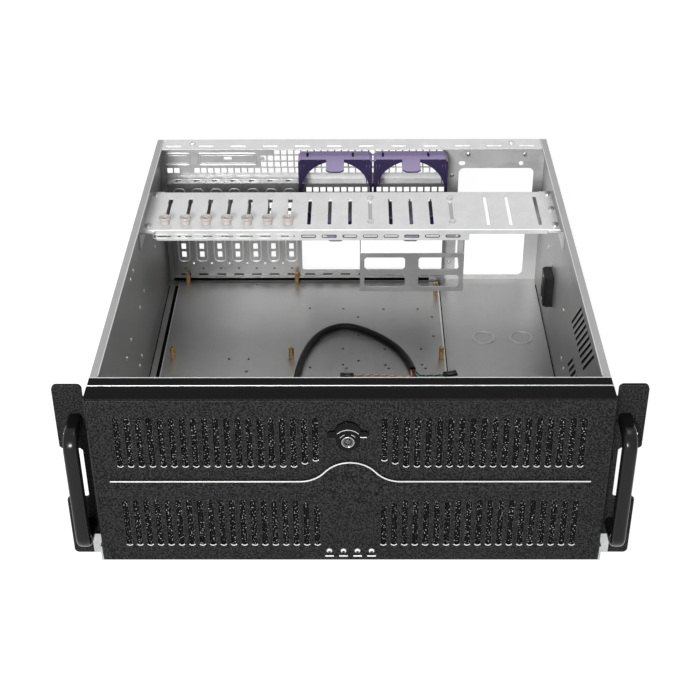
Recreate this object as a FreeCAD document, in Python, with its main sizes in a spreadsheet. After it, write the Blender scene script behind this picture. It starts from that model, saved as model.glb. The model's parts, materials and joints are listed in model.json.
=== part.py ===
import FreeCAD, Part
import math
import os
import Sketcher
from FreeCAD import Rotation, Vector

# Empty 4U rackmount server case, millimetres.
# X runs across the case with 0 in the middle, Y runs from the ears (0) to the rear, Z is up
# from the underside. Every driving size is a cell of the sheet; the rest is worked out from them.

doc = FreeCAD.newDocument("RackmountCase")
sheet = doc.addObject("Spreadsheet::Sheet", "Sizes")
NODES = []


# ---------------------------------------------------------------- sizes

class Dim:
    """A number together with the spreadsheet expression that gives it."""

    def __init__(self, value, text):
        self.value = float(value)
        self.text = text

    def combine(self, other, sign, result):
        return Dim(result, "(%s %s %s)" % (self.text, sign, other.text))

    def __add__(self, other):
        other = dim(other)
        return self.combine(other, "+", self.value + other.value)

    def __sub__(self, other):
        other = dim(other)
        return self.combine(other, "-", self.value - other.value)

    def __mul__(self, other):
        other = dim(other)
        return self.combine(other, "*", self.value * other.value)

    def __truediv__(self, other):
        other = dim(other)
        return self.combine(other, "/", self.value / other.value)

    def __radd__(self, other):
        return dim(other) + self

    def __rsub__(self, other):
        return dim(other) - self

    def __rmul__(self, other):
        return dim(other) * self

    def __neg__(self):
        return dim(0) - self


def dim(number):
    """Any number as a Dim."""
    return number if isinstance(number, Dim) else Dim(number, "(%.10g)" % number)


def size(name, value, note):
    """One row of the sheet: the value with its alias, and what it measures."""
    size.row += 1
    cell = "A%d" % size.row
    sheet.set(cell, "%.10g" % value)
    sheet.setAlias(cell, name)
    sheet.set("B%d" % size.row, note)
    return Dim(value, "Sizes." + name)


size.row = 0

# Case
case_width = size("case_width", 424, "across the side walls")
case_height = size("case_height", 177, "4U")
case_depth = size("case_depth", 471, "ear plane to the back of the rear panel")
metal = size("metal", 1, "sheet thickness of the base and panels")
bend = size("bend", 2, "outer bend radius of the base")
lip = size("lip", 7, "width of the folded top lips")
hem = size("hem", 3, "height of the return below each lip")
half = case_width / 2
rear_inside = case_depth - metal

# Front
frame_depth = size("frame_depth", 11, "depth of the front frame")
frame_wall = size("frame_wall", 1.5, "wall of the front frame")
frame_side = size("frame_side", 17, "width of the frame's side bars")
frame_sill = size("frame_sill", 22, "height of the frame's lower bar")
frame_head = size("frame_head", 27, "height of the frame's upper bar")
sheet_margin = size("sheet_margin", 4, "front sheet openings larger than the frame's, each edge")
sheet_post = size("sheet_post", 12, "middle post of the front sheet")

# Rack ears and handles
rack_width = size("rack_width", 482.6, "19-inch flange width")
ear_metal = size("ear_metal", 3, "ear thickness")
ear_gap = size("ear_gap", 5, "clear width beside the door at the top")
ear_gap_height = size("ear_gap_height", 12, "height of that clear part")
ear_return = size("ear_return", 30, "flange of the ear along the side wall")
ear_corner = size("ear_corner", 4, "ear corner radius")
notch_drop = size("notch_drop", 63, "top of the outer notch below the top")
notch_height = size("notch_height", 53, "height of the outer notch")
notch_inner = size("notch_inner", 222.3, "notch edge from the middle")
rack_spacing = size("rack_spacing", 465.1, "rack slots, centre to centre")
rack_drop = size("rack_drop", 50.2, "upper rack slot below the top")
rack_pitch = size("rack_pitch", 76.2, "lower to upper rack slot")
rack_slot_width = size("rack_slot_width", 7, "rack slot height")
rack_slot_length = size("rack_slot_length", 10, "rack slot length")
grip_x = size("grip_x", 224.6, "handle centre from the middle")
grip_bar = size("grip_bar", 12, "handle bar, square with round edges")
grip_edge = size("grip_edge", 3.6, "edge radius of the handle bar")
grip_drop = size("grip_drop", 33.4, "upper handle post below the top")
grip_span = size("grip_span", 110.2, "handle posts, apart")
grip_reach = size("grip_reach", 29, "ear face to the middle of the grip")
grip_bend = size("grip_bend", 11, "bend radius at the middle of the bar")
grip_screw = size("grip_screw", 2.5, "handle screw shank radius")
grip_screw_head = size("grip_screw_head", 4.6, "handle screw head radius")
grip_screw_depth = size("grip_screw_depth", 3, "handle screw head height")

notch_high = case_height - notch_drop
notch_low = notch_high - notch_height
rack_low = case_height - rack_drop - rack_pitch
grip_high = case_height - grip_drop
grip_low = grip_high - grip_span

# Door
door_width = size("door_width", 424.6, "across the door")
door_low = size("door_low", 7.8, "underside of the door")
door_gap = size("door_gap", 1.5, "ear plane to the back edge of the door")
door_depth = size("door_depth", 18.5, "front to back edge")
door_wall = size("door_wall", 1.5, "wall of the door")
door_edge = size("door_edge", 1.2, "front edge radius, less than its wall")
pivot_setback = size("pivot_setback", 10, "hinge axis in front of the ear plane")
pivot_height = size("pivot_height", 12.5, "hinge axis above the underside")
slot_pitch = size("slot_pitch", 8.9, "door slots, centre to centre")
slot_width = size("slot_width", 5, "door slot width")
slot_count = size("slot_count", 17, "equal slots on each side")
slot_outer = size("slot_outer", 188.2, "outermost slot from the middle")
foam_margin = size("foam_margin", 14, "air filter below the top of the door")
upper_slot_drop = size("upper_slot_drop", 17.5, "upper slots below the top")
lower_slot_low = size("lower_slot_low", 25.4, "lower slots, lower end")
slot_margin_up = size("slot_margin_up", 13.6, "band to the upper slots")
slot_margin_down = size("slot_margin_down", 12.2, "band to the lower slots")
slot_step = size("slot_step", 3.1, "how much the two inner slots shorten")
band_reach = size("band_reach", 198, "half length of the raised band")
band_drop = size("band_drop", 80.8, "upper edge of the band below the top")
band_width = size("band_width", 9.1, "height of the band")
band_rise = size("band_rise", 2.3, "how far the band stands out")
swell_half = size("swell_half", 41.5, "half length of the band's swell")
swell_up = size("swell_up", 19.7, "rise of the swell above the band")
swell_down = size("swell_down", 17.6, "drop of the swell below the band")
door_front = -door_gap - door_depth
door_half = door_width / 2
band_high = case_height - band_drop
band_low = band_high - band_width
upper_slot_low = band_high + slot_margin_up
upper_slot_high = case_height - upper_slot_drop
lower_slot_high = band_low - slot_margin_down
foam_high = case_height - foam_margin

# Lock and indicators
lock_x = size("lock_x", -1.6, "lock centre across the door")
lock_drop = size("lock_drop", 39.7, "lock centre below the top")
lock_z = case_height - lock_drop
barrel_radius = size("barrel_radius", 5.6, "key barrel")
barrel_clearance = size("barrel_clearance", 0.4, "round the barrel")
barrel_proud = size("barrel_proud", 3.6, "barrel in front of the door")
trim_depth = size("trim_depth", 2.4, "thickness of the lock trim")
trim_radius = size("trim_radius", 9.4, "trim round the barrel")
wing_reach = size("wing_reach", 16.5, "half length of the trim's wings")
wing_width = size("wing_width", 6, "height of the wings")
wing_height = size("wing_height", 6.7, "wing centre above the barrel")
dome_radius = size("dome_radius", 10.6, "dome of the trim")
dome_height = size("dome_height", 8.4, "dome centre above the barrel")
cam_clearance = size("cam_clearance", 0.7, "cam behind the frame's face")
cam_metal = size("cam_metal", 2, "cam thickness")
cam_reach = size("cam_reach", 25, "cam tip from the barrel axis")
cam_half = size("cam_half", 6, "half width of the cam")
lens_radius = size("lens_radius", 2.5, "indicator lens")
lens_pitch = size("lens_pitch", 12, "lenses, centre to centre")
lens_height = size("lens_height", 18.9, "lens centre height")
lens_proud = size("lens_proud", 0.6, "lens in front of the door")
foam_half = size("foam_half", 196, "half width of the air filter")
foam_low = size("foam_low", 22.6, "underside of the air filter")
foam_depth = size("foam_depth", 6, "thickness of the air filter")
foam_hole = size("foam_hole", 9, "hole in the filter round the lock")

# Hinge
pin_radius = size("pin_radius", 2, "door pin")
pin_clearance = size("pin_clearance", 0.06, "between pin and door")
pin_inside = size("pin_inside", 6, "how far the pin reaches into the door")
hinge_gap = size("hinge_gap", 0.9, "door side to hinge flange")
hinge_metal = size("hinge_metal", 1.5, "hinge bracket thickness")
hinge_low = size("hinge_low", 1.5, "underside of the hinge plate")
hinge_high = size("hinge_high", 22, "top of the hinge plate")
hinge_reach = size("hinge_reach", 224, "outer edge of the hinge plate")
hinge_front = size("hinge_front", 16, "hinge flange in front of the ear")
hinge_flange = size("hinge_flange", 7.5, "half height of the hinge flange")

# Rear wall
rear_flange = size("rear_flange", 25.5, "rear top flange, front to back")
flange_margin = size("flange_margin", 0.3, "rear flange to the top lips")
dimple_length = size("dimple_length", 16, "flange dimple length")
dimple_width = size("dimple_width", 5, "flange dimple width")
dimple_pitch = size("dimple_pitch", 34.65, "flange dimples, centre to centre")
dimple_count = size("dimple_count", 12, "flange dimples")
dimple_first = size("dimple_first", -192.5, "first dimple")
dimple_depth = size("dimple_depth", 0.5, "depth of the dimples")
dimple_setback = size("dimple_setback", 19, "dimple row before the back")
flange_screw_x = size("flange_screw_x", 173, "flange screws from the middle")
flange_screw_setback = size("flange_screw_setback", 10, "flange screws before the back")
bay_left = size("bay_left", -204, "left side of the rear step")
bay_right = size("bay_right", 105, "right side of the rear step")
bay_drop = size("bay_drop", 47, "rear step below the top")
bay_low = size("bay_low", 13, "bottom flange of the lower rear wall")
bay_setback = size("bay_setback", 13, "lower rear wall before the back")
bay_flange = size("bay_flange", 4.8, "bottom flange, front to back")
vent_pitch = size("vent_pitch", 7.45, "rear vents, centre to centre")
vent_cell = size("vent_cell", 6, "side of a square vent")
vent_rise = size("vent_rise", 7.2, "lowest rear vent row above the step")
vent_left = size("vent_left", -174.3, "first rear vent")
vent_columns = size("vent_columns", 37, "vents in the long row")
fan_vent_left = size("fan_vent_left", -63, "first vent of the upper rows")
fan_vent_columns = size("fan_vent_columns", 22, "vents in the upper rows")
fan_vent_rows = size("fan_vent_rows", 3, "upper rows")
psu_left = size("psu_left", 117.8, "power supply opening, left")
psu_right = size("psu_right", 200.5, "power supply opening, right")
psu_low = size("psu_low", 6.7, "power supply opening, bottom")
psu_drop = size("psu_drop", 34.5, "power supply opening below the top")
psu_corner = size("psu_corner", 6, "power supply opening corners")
psu_ledge = size("psu_ledge", 4.8, "shoulder on the opening's right side")
psu_ledge_high = size("psu_ledge_high", 61, "top of that shoulder")
psu_hole_left = size("psu_hole_left", 121.1, "power supply screw, left")
psu_hole_pitch = size("psu_hole_pitch", 64.9, "power supply screws, apart")
psu_hole_rise = size("psu_hole_rise", 5.9, "power supply screws above the opening")
psu_hole = size("psu_hole", 2.4, "power supply screw hole radius")
knock_drop = size("knock_drop", 18, "rear knock-outs below the top")
knock_height = size("knock_height", 10, "height of the rear knock-outs")
knock_groove = size("knock_groove", 0.5, "depth of the knock-out grooves")

dimple_y = case_depth - dimple_setback
flange_screw_y = case_depth - flange_screw_setback
bay_y = case_depth - bay_setback
bay_high = case_height - bay_drop
vent_low = bay_high + vent_rise
psu_high = case_height - psu_drop
psu_hole_z = psu_high + psu_hole_rise
knock_high = case_height - knock_drop
knock_low = knock_high - knock_height

# Lower rear wall
card_first = size("card_first", -190.9, "first card slot")
card_pitch = size("card_pitch", 20.32, "card slots, centre to centre")
card_count = size("card_count", 7, "card slots")
card_open = size("card_open", 12.8, "card slot width")
card_low = size("card_low", 30, "card slot bottom")
card_margin = size("card_margin", 10, "card slot top below the ledge")
gap_hole = size("gap_hole", 2.4, "square hole between two covers")
gap_hole_low = size("gap_hole_low", 28, "lower row of holes between covers")
card_tab = size("card_tab", 10, "cover tab over the ledge")
cover_width = size("cover_width", 18.4, "slot cover width")
cover_low = size("cover_low", 24, "bottom of a slot cover")
cover_metal = size("cover_metal", 0.8, "slot cover thickness")
cover_corner = size("cover_corner", 2.5, "lower corners of a slot cover")
window_width = size("window_width", 5.1, "window in a slot cover")
window_height = size("window_height", 7.1, "height of a window")
window_pitch = size("window_pitch", 10.3, "windows, centre to centre")
window_first = size("window_first", 41.6, "lowest window")
window_count = size("window_count", 8, "windows in a cover")
ledge_hole = size("ledge_hole", 1.6, "cover screw hole radius")
ledge_hole_setback = size("ledge_hole_setback", 7, "cover screws before the back")
io_left = size("io_left", -57, "I/O aperture, left")
io_right = size("io_right", 101.7, "I/O aperture, right")
io_low = size("io_low", 20.6, "I/O aperture, bottom")
io_high = size("io_high", 65, "I/O aperture, top")
io_corner = size("io_corner", 1.5, "I/O aperture corners")
foot_slot = size("foot_slot", 11.6, "foot slot in the bottom flange")
foot_first = size("foot_first", -190.9, "first foot slot")
foot_count = size("foot_count", 15, "foot slots")
row_vent_pitch = size("row_vent_pitch", 7.68, "vents under the fans, apart")
row_vent_first = size("row_vent_first", -47.5, "first vent under the fans")
row_vent_count = size("row_vent_count", 20, "vents in a row under the fans")
row_vent_step = size("row_vent_step", 12, "vent rows, apart")
row_vent_drop = size("row_vent_drop", 22.4, "lower vent row below the ledge")

card_high = bay_high - card_margin
ledge_hole_y = case_depth - ledge_hole_setback
row_vent_low = bay_high - row_vent_drop

# Tray and standoffs
tray_left = size("tray_left", -199, "left edge of the tray")
tray_right = size("tray_right", 98.5, "right edge of the tray")
tray_front = size("tray_front", 130, "front edge of the tray")
tray_gap = size("tray_gap", 3, "tray to the lower rear wall")
tray_top = size("tray_top", 6, "tray surface")
tray_metal = size("tray_metal", 1.2, "tray thickness")
tray_foot = size("tray_foot", 4.5, "tray foot flange on the floor")
board_x = size("board_x", -63.6, "second column of board posts")
board_left_step = size("board_left_step", 124.46, "to the first column")
board_right_step = size("board_right_step", 157.48, "to the third column")
board_setback = size("board_setback", 7.6, "rear board posts to the lower rear wall")
board_rear_offset = size("board_rear_offset", 22.86, "third post of the rear row stands forward")
board_mid_step = size("board_mid_step", 154.94, "to the middle row")
board_front_step = size("board_front_step", 227.33, "to the front row")
post_radius = size("post_radius", 2.6, "board post")
post_height = size("post_height", 15, "board post above the tray")
spare_hole = size("spare_hole", 1.6, "spare post hole radius")
knock_radius = size("knock_radius", 11.5, "floor knock-out")
knock_x = size("knock_x", 142.3, "first floor knock-out")
knock_pitch = size("knock_pitch", 40.8, "floor knock-outs, apart")
knock_setback = size("knock_setback", 127, "floor knock-outs before the back")

tray_rear = bay_y - tray_gap
board_y = bay_y - board_setback

# Cross bar and retainers
bar_drop = size("bar_drop", 17, "cross bar below the top")
bar_metal = size("bar_metal", 1.2, "cross bar thickness")
bar_setback = size("bar_setback", 94, "rear of the bar before the back")
bar_depth = size("bar_depth", 82, "bar, front to back")
bar_margin = size("bar_margin", 4, "bar end to the side wall")
bar_flange_deep = size("bar_flange_deep", 12, "front flange, left part")
bar_flange_thin = size("bar_flange_thin", 5, "front flange, right part")
bar_flange_end = size("bar_flange_end", 117, "end of the deep part")
column_first = size("column_first", -186, "first slot column")
column_pitch = size("column_pitch", 20.5, "slot columns, apart")
column_margin = size("column_margin", 11, "slots from the bar's front")
column_length = size("column_length", 57, "length of the slots")
key_narrow = size("key_narrow", 3.4, "narrow part of a key slot")
key_wide = size("key_wide", 4.6, "wide part of a key slot")
key_length = size("key_length", 11, "length of the wide part")
plain_slot = size("plain_slot", 3.6, "width of the other slots")
edge_slot_length = size("edge_slot_length", 13.7, "slits in the front flange, length")
edge_slot_width = size("edge_slot_width", 1.6, "slits in the front flange, height")
edge_slot_drop = size("edge_slot_drop", 7.4, "slits below the bar's top")
peg_margin = size("peg_margin", 2.6, "retainer from the slot's front end")
peg_head = size("peg_head", 5.85, "retainer head radius")
peg_head_depth = size("peg_head_depth", 3, "retainer head height")
peg_neck = size("peg_neck", 4.2, "retainer neck radius")
peg_neck_depth = size("peg_neck_depth", 5, "retainer neck height")
peg_clearance = size("peg_clearance", 0.35, "retainer stem in its slot, each side")
peg_lift = size("peg_lift", 0.1, "retainer foot under the bar")
peg_foot = size("peg_foot", 4, "retainer foot radius")
peg_foot_depth = size("peg_foot_depth", 8.5, "retainer foot height")
bracket_reach = size("bracket_reach", 16, "bar bracket across")
bracket_drop = size("bracket_drop", 20, "bar bracket down the wall")
bracket_metal = size("bracket_metal", 1.2, "bar bracket thickness")
bracket_clearance = size("bracket_clearance", 0.5, "bar flanges to the brackets")
bracket_overlap = size("bracket_overlap", 4, "bracket longer than the bar, each end")
screw_radius = size("screw_radius", 1.7, "screw shank radius")
screw_head = size("screw_head", 3.3, "screw head radius")
screw_head_depth = size("screw_head_depth", 1.9, "screw head height")
screw_reach = size("screw_reach", 5, "screw shank below the head")
bar_screw_margin = size("bar_screw_margin", 4.4, "end screws from the bar's end")
bar_screw_inset = size("bar_screw_inset", 8.4, "front end screws from the bar's front")
bar_screw_inset_rear = size("bar_screw_inset_rear", 5.4, "rear end screws from the bar's rear")

bar_top = case_height - bar_drop
bar_rear = case_depth - bar_setback
bar_front = bar_rear - bar_depth
bar_flange_low = bar_top - bar_flange_deep
bar_flange_mid = bar_top - bar_flange_thin
column_low = bar_front + column_margin
column_high = column_low + column_length
edge_slot_z = bar_top - edge_slot_drop
peg_rest = column_low + peg_margin
bar_screw_front = bar_front + bar_screw_inset
bar_screw_rear = bar_rear - bar_screw_inset_rear
knock_y = case_depth - knock_setback

# Drive cage
cage_left = size("cage_left", 8.4, "left side of the drive cage")
cage_width = size("cage_width", 104.8, "across the drive cage")
cage_height = size("cage_height", 71.9, "drive cage below the bar")
cage_face = size("cage_face", 43.9, "height of the cage's front plate")
cage_inset = size("cage_inset", 4, "cage front behind the bar's front")
cage_clearance = size("cage_clearance", 0.3, "cage to the bar's rear flange")
cage_metal = size("cage_metal", 1, "cage thickness")
cage_flange = size("cage_flange", 19, "cage top flanges")
cage_window_width = size("cage_window_width", 41, "window in the cage front")
cage_window_height = size("cage_window_height", 13.6, "height of a window")
cage_window_pitch = size("cage_window_pitch", 20.2, "windows, one above the other")
cage_window_margin = size("cage_window_margin", 5.4, "windows above the bottom edge")
cage_window_side = size("cage_window_side", 4.6, "windows from the cage's sides")

drive_slot_first = size("drive_slot_first", 17.6, "first drive slot behind the cage front")
drive_slot_pitch = size("drive_slot_pitch", 41.6, "drive slots, front to back")
drive_slot_low = size("drive_slot_low", 14, "lower drive slots above the cage's edge")
drive_pitch = size("drive_pitch", 25.4, "lower to upper drive")
drive_slot_length = size("drive_slot_length", 8, "drive slot length")
drive_slot_width = size("drive_slot_width", 4, "drive slot width")
cage_low = bar_top - bar_metal - cage_height
cage_front_high = cage_low + cage_face
cage_front = bar_front + cage_inset
cage_rear = bar_rear - bar_metal - cage_clearance

# Fan holders
fan_left = size("fan_left", -57.9, "left side of the first fan holder")
fan_pitch = size("fan_pitch", 81.5, "fan holders, apart")
fan_side = size("fan_side", 79.8, "fan holder, square")
fan_depth = size("fan_depth", 21, "fan holder, front to back")
fan_drop = size("fan_drop", 88, "underside of the fan holders below the top")
fan_bore = size("fan_bore", 37.7, "fan opening radius")
fan_wall = size("fan_wall", 1.8, "wall of the fan holder")
fan_corner = size("fan_corner", 6, "upper corners of the fan holder")
tongue_width = size("tongue_width", 19.2, "latch tongue width")
tongue_reach = size("tongue_reach", 29.5, "latch tongue in front of the holder")
tongue_metal = size("tongue_metal", 1.5, "latch tongue thickness")
tongue_drop = size("tongue_drop", 4, "lower tongue cranks down")
tongue_round = size("tongue_round", 4, "cut corners of a tongue's end")
tongue_offset = size("tongue_offset", 30.4, "tongue from the holder's left side")
fan_low = case_height - fan_drop

# Wall switch, board and cable
switch_depth = size("switch_depth", 9.7, "switch housing from the wall")
switch_setback = size("switch_setback", 141, "front of the switch housing before the back")
switch_length = size("switch_length", 26, "switch housing, front to back")
switch_low = size("switch_low", 48.5, "underside of the switch housing")
switch_height = size("switch_height", 34.2, "switch housing height")
switch_bevel = size("switch_bevel", 3, "bevel of its inner edges")
switch_front = case_depth - switch_setback
wall_hole = size("wall_hole", 1.8, "side wall hole radius")
wall_hole_drop = size("wall_hole_drop", 35.6, "side wall holes below the top")
wall_hole_setback = size("wall_hole_setback", 228.4, "first side wall hole before the back")
wall_hole_pitch = size("wall_hole_pitch", 14.6, "side wall holes, apart")
led_board_x = size("led_board_x", -44, "indicator board centre")
led_board_half = size("led_board_half", 24, "half width of the board")
led_board_low = size("led_board_low", 4, "underside of the board")
led_board_high = size("led_board_high", 20, "top of the board")
led_board_metal = size("led_board_metal", 1.6, "board thickness")
sleeve_radius = size("sleeve_radius", 3.5, "cable sleeve")
lead_radius = size("lead_radius", 1.1, "twisted lead")
plug_length = size("plug_length", 14, "lead plug length")
plug_width = size("plug_width", 7.6, "lead plug width")
plug_height = size("plug_height", 2.8, "lead plug height")


# ---------------------------------------------------------------- sketching

def bind(item, prop, amount):
    """Ties one property to the sheet."""
    item.setExpression(prop, dim(amount).text)


def new_body(name):
    """An empty body that will be exported under its name."""
    body = doc.addObject("PartDesign::Body", name)
    body.Label = name
    NODES.append(body)
    return body


def new_sketch(body, name, plane, at):
    """An empty sketch on one of the body's own planes, moved along that plane's axis."""
    sketch = body.newObject("Sketcher::SketchObject", name)
    base = [item for item in body.Origin.OriginFeatures if item.Role == plane + "_Plane"][0]
    sketch.AttachmentSupport = [(base, "")]
    sketch.MapMode = "FlatFace"
    bind(sketch, "AttachmentOffset.Base.z", -dim(at) if plane == "XZ" else at)
    return sketch


def sign(number):
    return (number > 1e-6) - (number < -1e-6)


BEVEL = "bevel"
OCTAGON_CUT = 1 - 1 / math.sqrt(2)


def outline(*corners):
    """Closed outline. A corner is (x, y), (x, y, radius) or (x, y, length, BEVEL) where both edges
    lie along the axes, or (x, y, 0, centre) where an arc about the centre arrives at it."""
    ends = []
    total = len(corners)
    for index, corner in enumerate(corners):
        x, y = dim(corner[0]), dim(corner[1])
        radius = dim(corner[2]) if len(corner) > 2 else dim(0)
        if radius.value < 1e-6:
            ends.append(((x, y), (x, y), None, False))
            continue
        before, after = corners[index - 1], corners[(index + 1) % total]
        in_x, in_y = sign(x.value - dim(before[0]).value), sign(y.value - dim(before[1]).value)
        out_x, out_y = sign(dim(after[0]).value - x.value), sign(dim(after[1]).value - y.value)
        enter = (x - in_x * radius, y - in_y * radius)
        leave = (x + out_x * radius, y + out_y * radius)
        centre = (x + (out_x - in_x) * radius, y + (out_y - in_y) * radius)
        ends.append((enter, leave, centre, corner[3:] == (BEVEL,)))
    edges = []
    for index in range(total):
        enter, leave, centre, bevelled = ends[index]
        if centre:
            edges.append((enter, leave, None if bevelled else centre))
        target = ends[(index + 1) % total][0]
        following = corners[(index + 1) % total]
        arc_centre = following[3] if len(following) > 3 and following[3] != BEVEL else None
        gap = math.hypot(target[0].value - leave[0].value, target[1].value - leave[1].value)
        if gap > 1e-6:
            edges.append((leave, target, arc_centre))
    return edges


def circle(x, y, radius):
    return ("circle", dim(x), dim(y), dim(radius))


def box_outline(left, right, low, high, radius=0, *style):
    """A rectangle, with all corners rounded, or bevelled, when a radius is given."""
    return outline((left, low, radius, *style), (right, low, radius, *style),
                   (right, high, radius, *style), (left, high, radius, *style))


def slot_outline(x, y, length, width, upright=False):
    """A slot about its centre. Its round ends have three facets each, because slots repeat so often."""
    across = dim(width) / 2
    along = dim(length) / 2
    half_x, half_y = (across, along) if upright else (along, across)
    return box_outline(x - half_x, x + half_x, y - half_y, y + half_y, dim(width) * OCTAGON_CUT, BEVEL)


def round_slot(x, y, length, width):
    """A slot that takes a bolt, with true round ends."""
    across = dim(width) / 2
    along = dim(length) / 2
    return box_outline(x - along, x + along, y - across, y + across, across)


def span_slot(x, low, high, width):
    """An upright slot between two heights."""
    low, high = dim(low), dim(high)
    return slot_outline(x, (low + high) / 2, high - low, width, upright=True)


def small_hole(x, y, radius):
    """A small round hole, drawn with eight facets."""
    return slot_outline(x, y, dim(radius) * 2, dim(radius) * 2)


def ring_outline(x, y, radius, sides):
    """A round outline with the given number of facets."""
    turns = [2 * math.pi * number / sides for number in range(sides)]
    return outline(*[(x + radius * math.cos(turn), y + radius * math.sin(turn)) for turn in turns])


def fix_point(sketch, index, position, point):
    """Holds one point of a sketch edge at its place from the origin."""
    for kind, amount in (("DistanceX", point[0]), ("DistanceY", point[1])):
        amount = dim(amount)
        held = sketch.addConstraint(Sketcher.Constraint(kind, -1, 1, index, position, amount.value))
        sketch.setExpression("Constraints[%d]" % held, amount.text)


def draw_circle(sketch, loop):
    x, y, radius = loop[1:]
    place = Vector(x.value, y.value, 0)
    index = sketch.addGeometry(Part.Circle(place, Vector(0, 0, 1), radius.value), False)
    held = sketch.addConstraint(Sketcher.Constraint("Radius", index, radius.value))
    sketch.setExpression("Constraints[%d]" % held, radius.text)
    fix_point(sketch, index, 3, (x, y))


def draw_edge(sketch, start, end, centre):
    """Adds a line or an arc and returns its index and which of its ends comes first."""
    a = Vector(dim(start[0]).value, dim(start[1]).value, 0)
    b = Vector(dim(end[0]).value, dim(end[1]).value, 0)
    if centre is None:
        return sketch.addGeometry(Part.LineSegment(a, b), False), 1
    c = Vector(dim(centre[0]).value, dim(centre[1]).value, 0)
    first, last = a - c, b - c
    turns_left = first.cross(last).z > 0
    low, high = (first, last) if turns_left else (last, first)
    start_angle = math.atan2(low.y, low.x)
    end_angle = math.atan2(high.y, high.x)
    if end_angle < start_angle:
        end_angle += 2 * math.pi
    ring = Part.Circle(c, Vector(0, 0, 1), (first.Length + last.Length) / 2)
    index = sketch.addGeometry(Part.ArcOfCircle(ring, start_angle, end_angle), False)
    return index, 1 if turns_left else 2


def draw_loop(sketch, edges):
    placed = [draw_edge(sketch, *edge) for edge in edges]
    for number, (index, first) in enumerate(placed):
        start, end, centre = edges[number]
        after, after_first = placed[(number + 1) % len(placed)]
        sketch.addConstraint(Sketcher.Constraint("Coincident", index, 3 - first, after, after_first))
        fix_point(sketch, index, first, start)
        if centre is None:
            continue
        run = abs(dim(end[0]).value - dim(start[0]).value)
        climb = abs(dim(end[1]).value - dim(start[1]).value)
        kind, amount = ("DistanceX", centre[0]) if climb >= run else ("DistanceY", centre[1])
        amount = dim(amount)
        held = sketch.addConstraint(Sketcher.Constraint(kind, -1, 1, index, 3, amount.value))
        sketch.setExpression("Constraints[%d]" % held, amount.text)


def draw(sketch, loops):
    for loop in loops:
        if loop[0] == "circle":
            draw_circle(sketch, loop)
        else:
            draw_loop(sketch, loop)


# ---------------------------------------------------------------- features

def pad(body, name, plane, low, high, *loops):
    """Material inside the loops between two offsets from a plane."""
    sketch = new_sketch(body, name + "Sketch", plane, high if plane == "XZ" else low)
    draw(sketch, loops)
    feature = body.newObject("PartDesign::Pad", name)
    feature.Profile = sketch
    bind(feature, "Length", dim(high) - low)
    return feature


def pocket(body, name, plane, low, high, *loops):
    """Cuts inside the loops between two offsets from a plane."""
    sketch = new_sketch(body, name + "Sketch", plane, low if plane == "XZ" else high)
    draw(sketch, loops)
    feature = body.newObject("PartDesign::Pocket", name)
    feature.Profile = sketch
    bind(feature, "Length", dim(high) - low)
    return feature


def repeat(body, feature, axis, pitch, count, second=None):
    """Repeats a feature along its sketch's H or V axis, and along a second axis for a grid."""
    sketch = feature.Profile[0]
    pattern = body.newObject("PartDesign::LinearPattern", feature.Name + "Row")
    pattern.Originals = [feature]
    pattern.Direction = (sketch, [axis + "_Axis"])
    pattern.Mode = "Spacing"
    bind(pattern, "Offset", pitch)
    bind(pattern, "Occurrences", count)
    if second:
        pattern.Direction2 = (sketch, [second[0] + "_Axis"])
        pattern.Mode2 = "Spacing"
        bind(pattern, "Offset2", second[1])
        bind(pattern, "Occurrences2", second[2])
    body.Tip = pattern
    return pattern


def bevel_edges(body, name, feature, length, test):
    """Bevels the edges of the latest feature that pass the test."""
    doc.recompute()
    names = ["Edge%d" % (number + 1) for number, edge in enumerate(feature.Shape.Edges) if test(edge)]
    bevel = body.newObject("PartDesign::Chamfer", name)
    bevel.Base = (feature, names)
    bind(bevel, "Size", length)


def place(item, at, rotation=None):
    if rotation:
        item.Placement.Rotation = rotation
    for letter, amount in zip("xyz", at):
        bind(item, "Placement.Base." + letter, amount)


def cylinder(name, at, axis, radius, length):
    """A plain cylinder that starts at a point and runs along +X, +Y or +Z."""
    turns = {"X": Rotation(Vector(0, 1, 0), 90), "Y": Rotation(Vector(1, 0, 0), -90), "Z": None}
    item = doc.addObject("Part::Cylinder", name)
    bind(item, "Radius", radius)
    bind(item, "Height", length)
    place(item, at, turns[axis])
    return item


def prism(name, at, axis, radius, length, sides=8):
    """A small turned piece, drawn as a prism with few sides."""
    turns = {"X": Rotation(Vector(0, 1, 0), 90), "Y": Rotation(Vector(1, 0, 0), -90), "Z": None}
    item = doc.addObject("Part::Prism", name)
    item.Polygon = sides
    bind(item, "Circumradius", radius)
    bind(item, "Height", length)
    place(item, at, turns[axis])
    return item


def fuse(name, *items):
    item = doc.addObject("Part::MultiFuse", name)
    item.Shapes = list(items)
    return item


def group(name, items):
    """Separate solids exported together under one name."""
    item = doc.addObject("Part::Compound", name)
    item.Label = name
    item.Links = items
    NODES.append(item)
    return item


def screws(name, spots, top):
    """Pan-head screws that point down from the height `top`."""
    solids = []
    for number, (x, y) in enumerate(spots):
        tag = "%s_%d" % (name, number + 1)
        head = prism(tag + "_head", (x, y, top), "Z", screw_head, screw_head_depth)
        shank = prism(tag + "_shank", (x, y, top - screw_reach), "Z", screw_radius, screw_reach)
        solids.append(fuse(tag, head, shank))
    return group(name, solids)


SIDES = (("left", -1), ("right", 1))


def across(side, near, far):
    """The two X values of a span on one side, in rising order."""
    return (side * dim(near), side * dim(far)) if side > 0 else (side * dim(far), side * dim(near))


# ---------------------------------------------------------------- base

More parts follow.
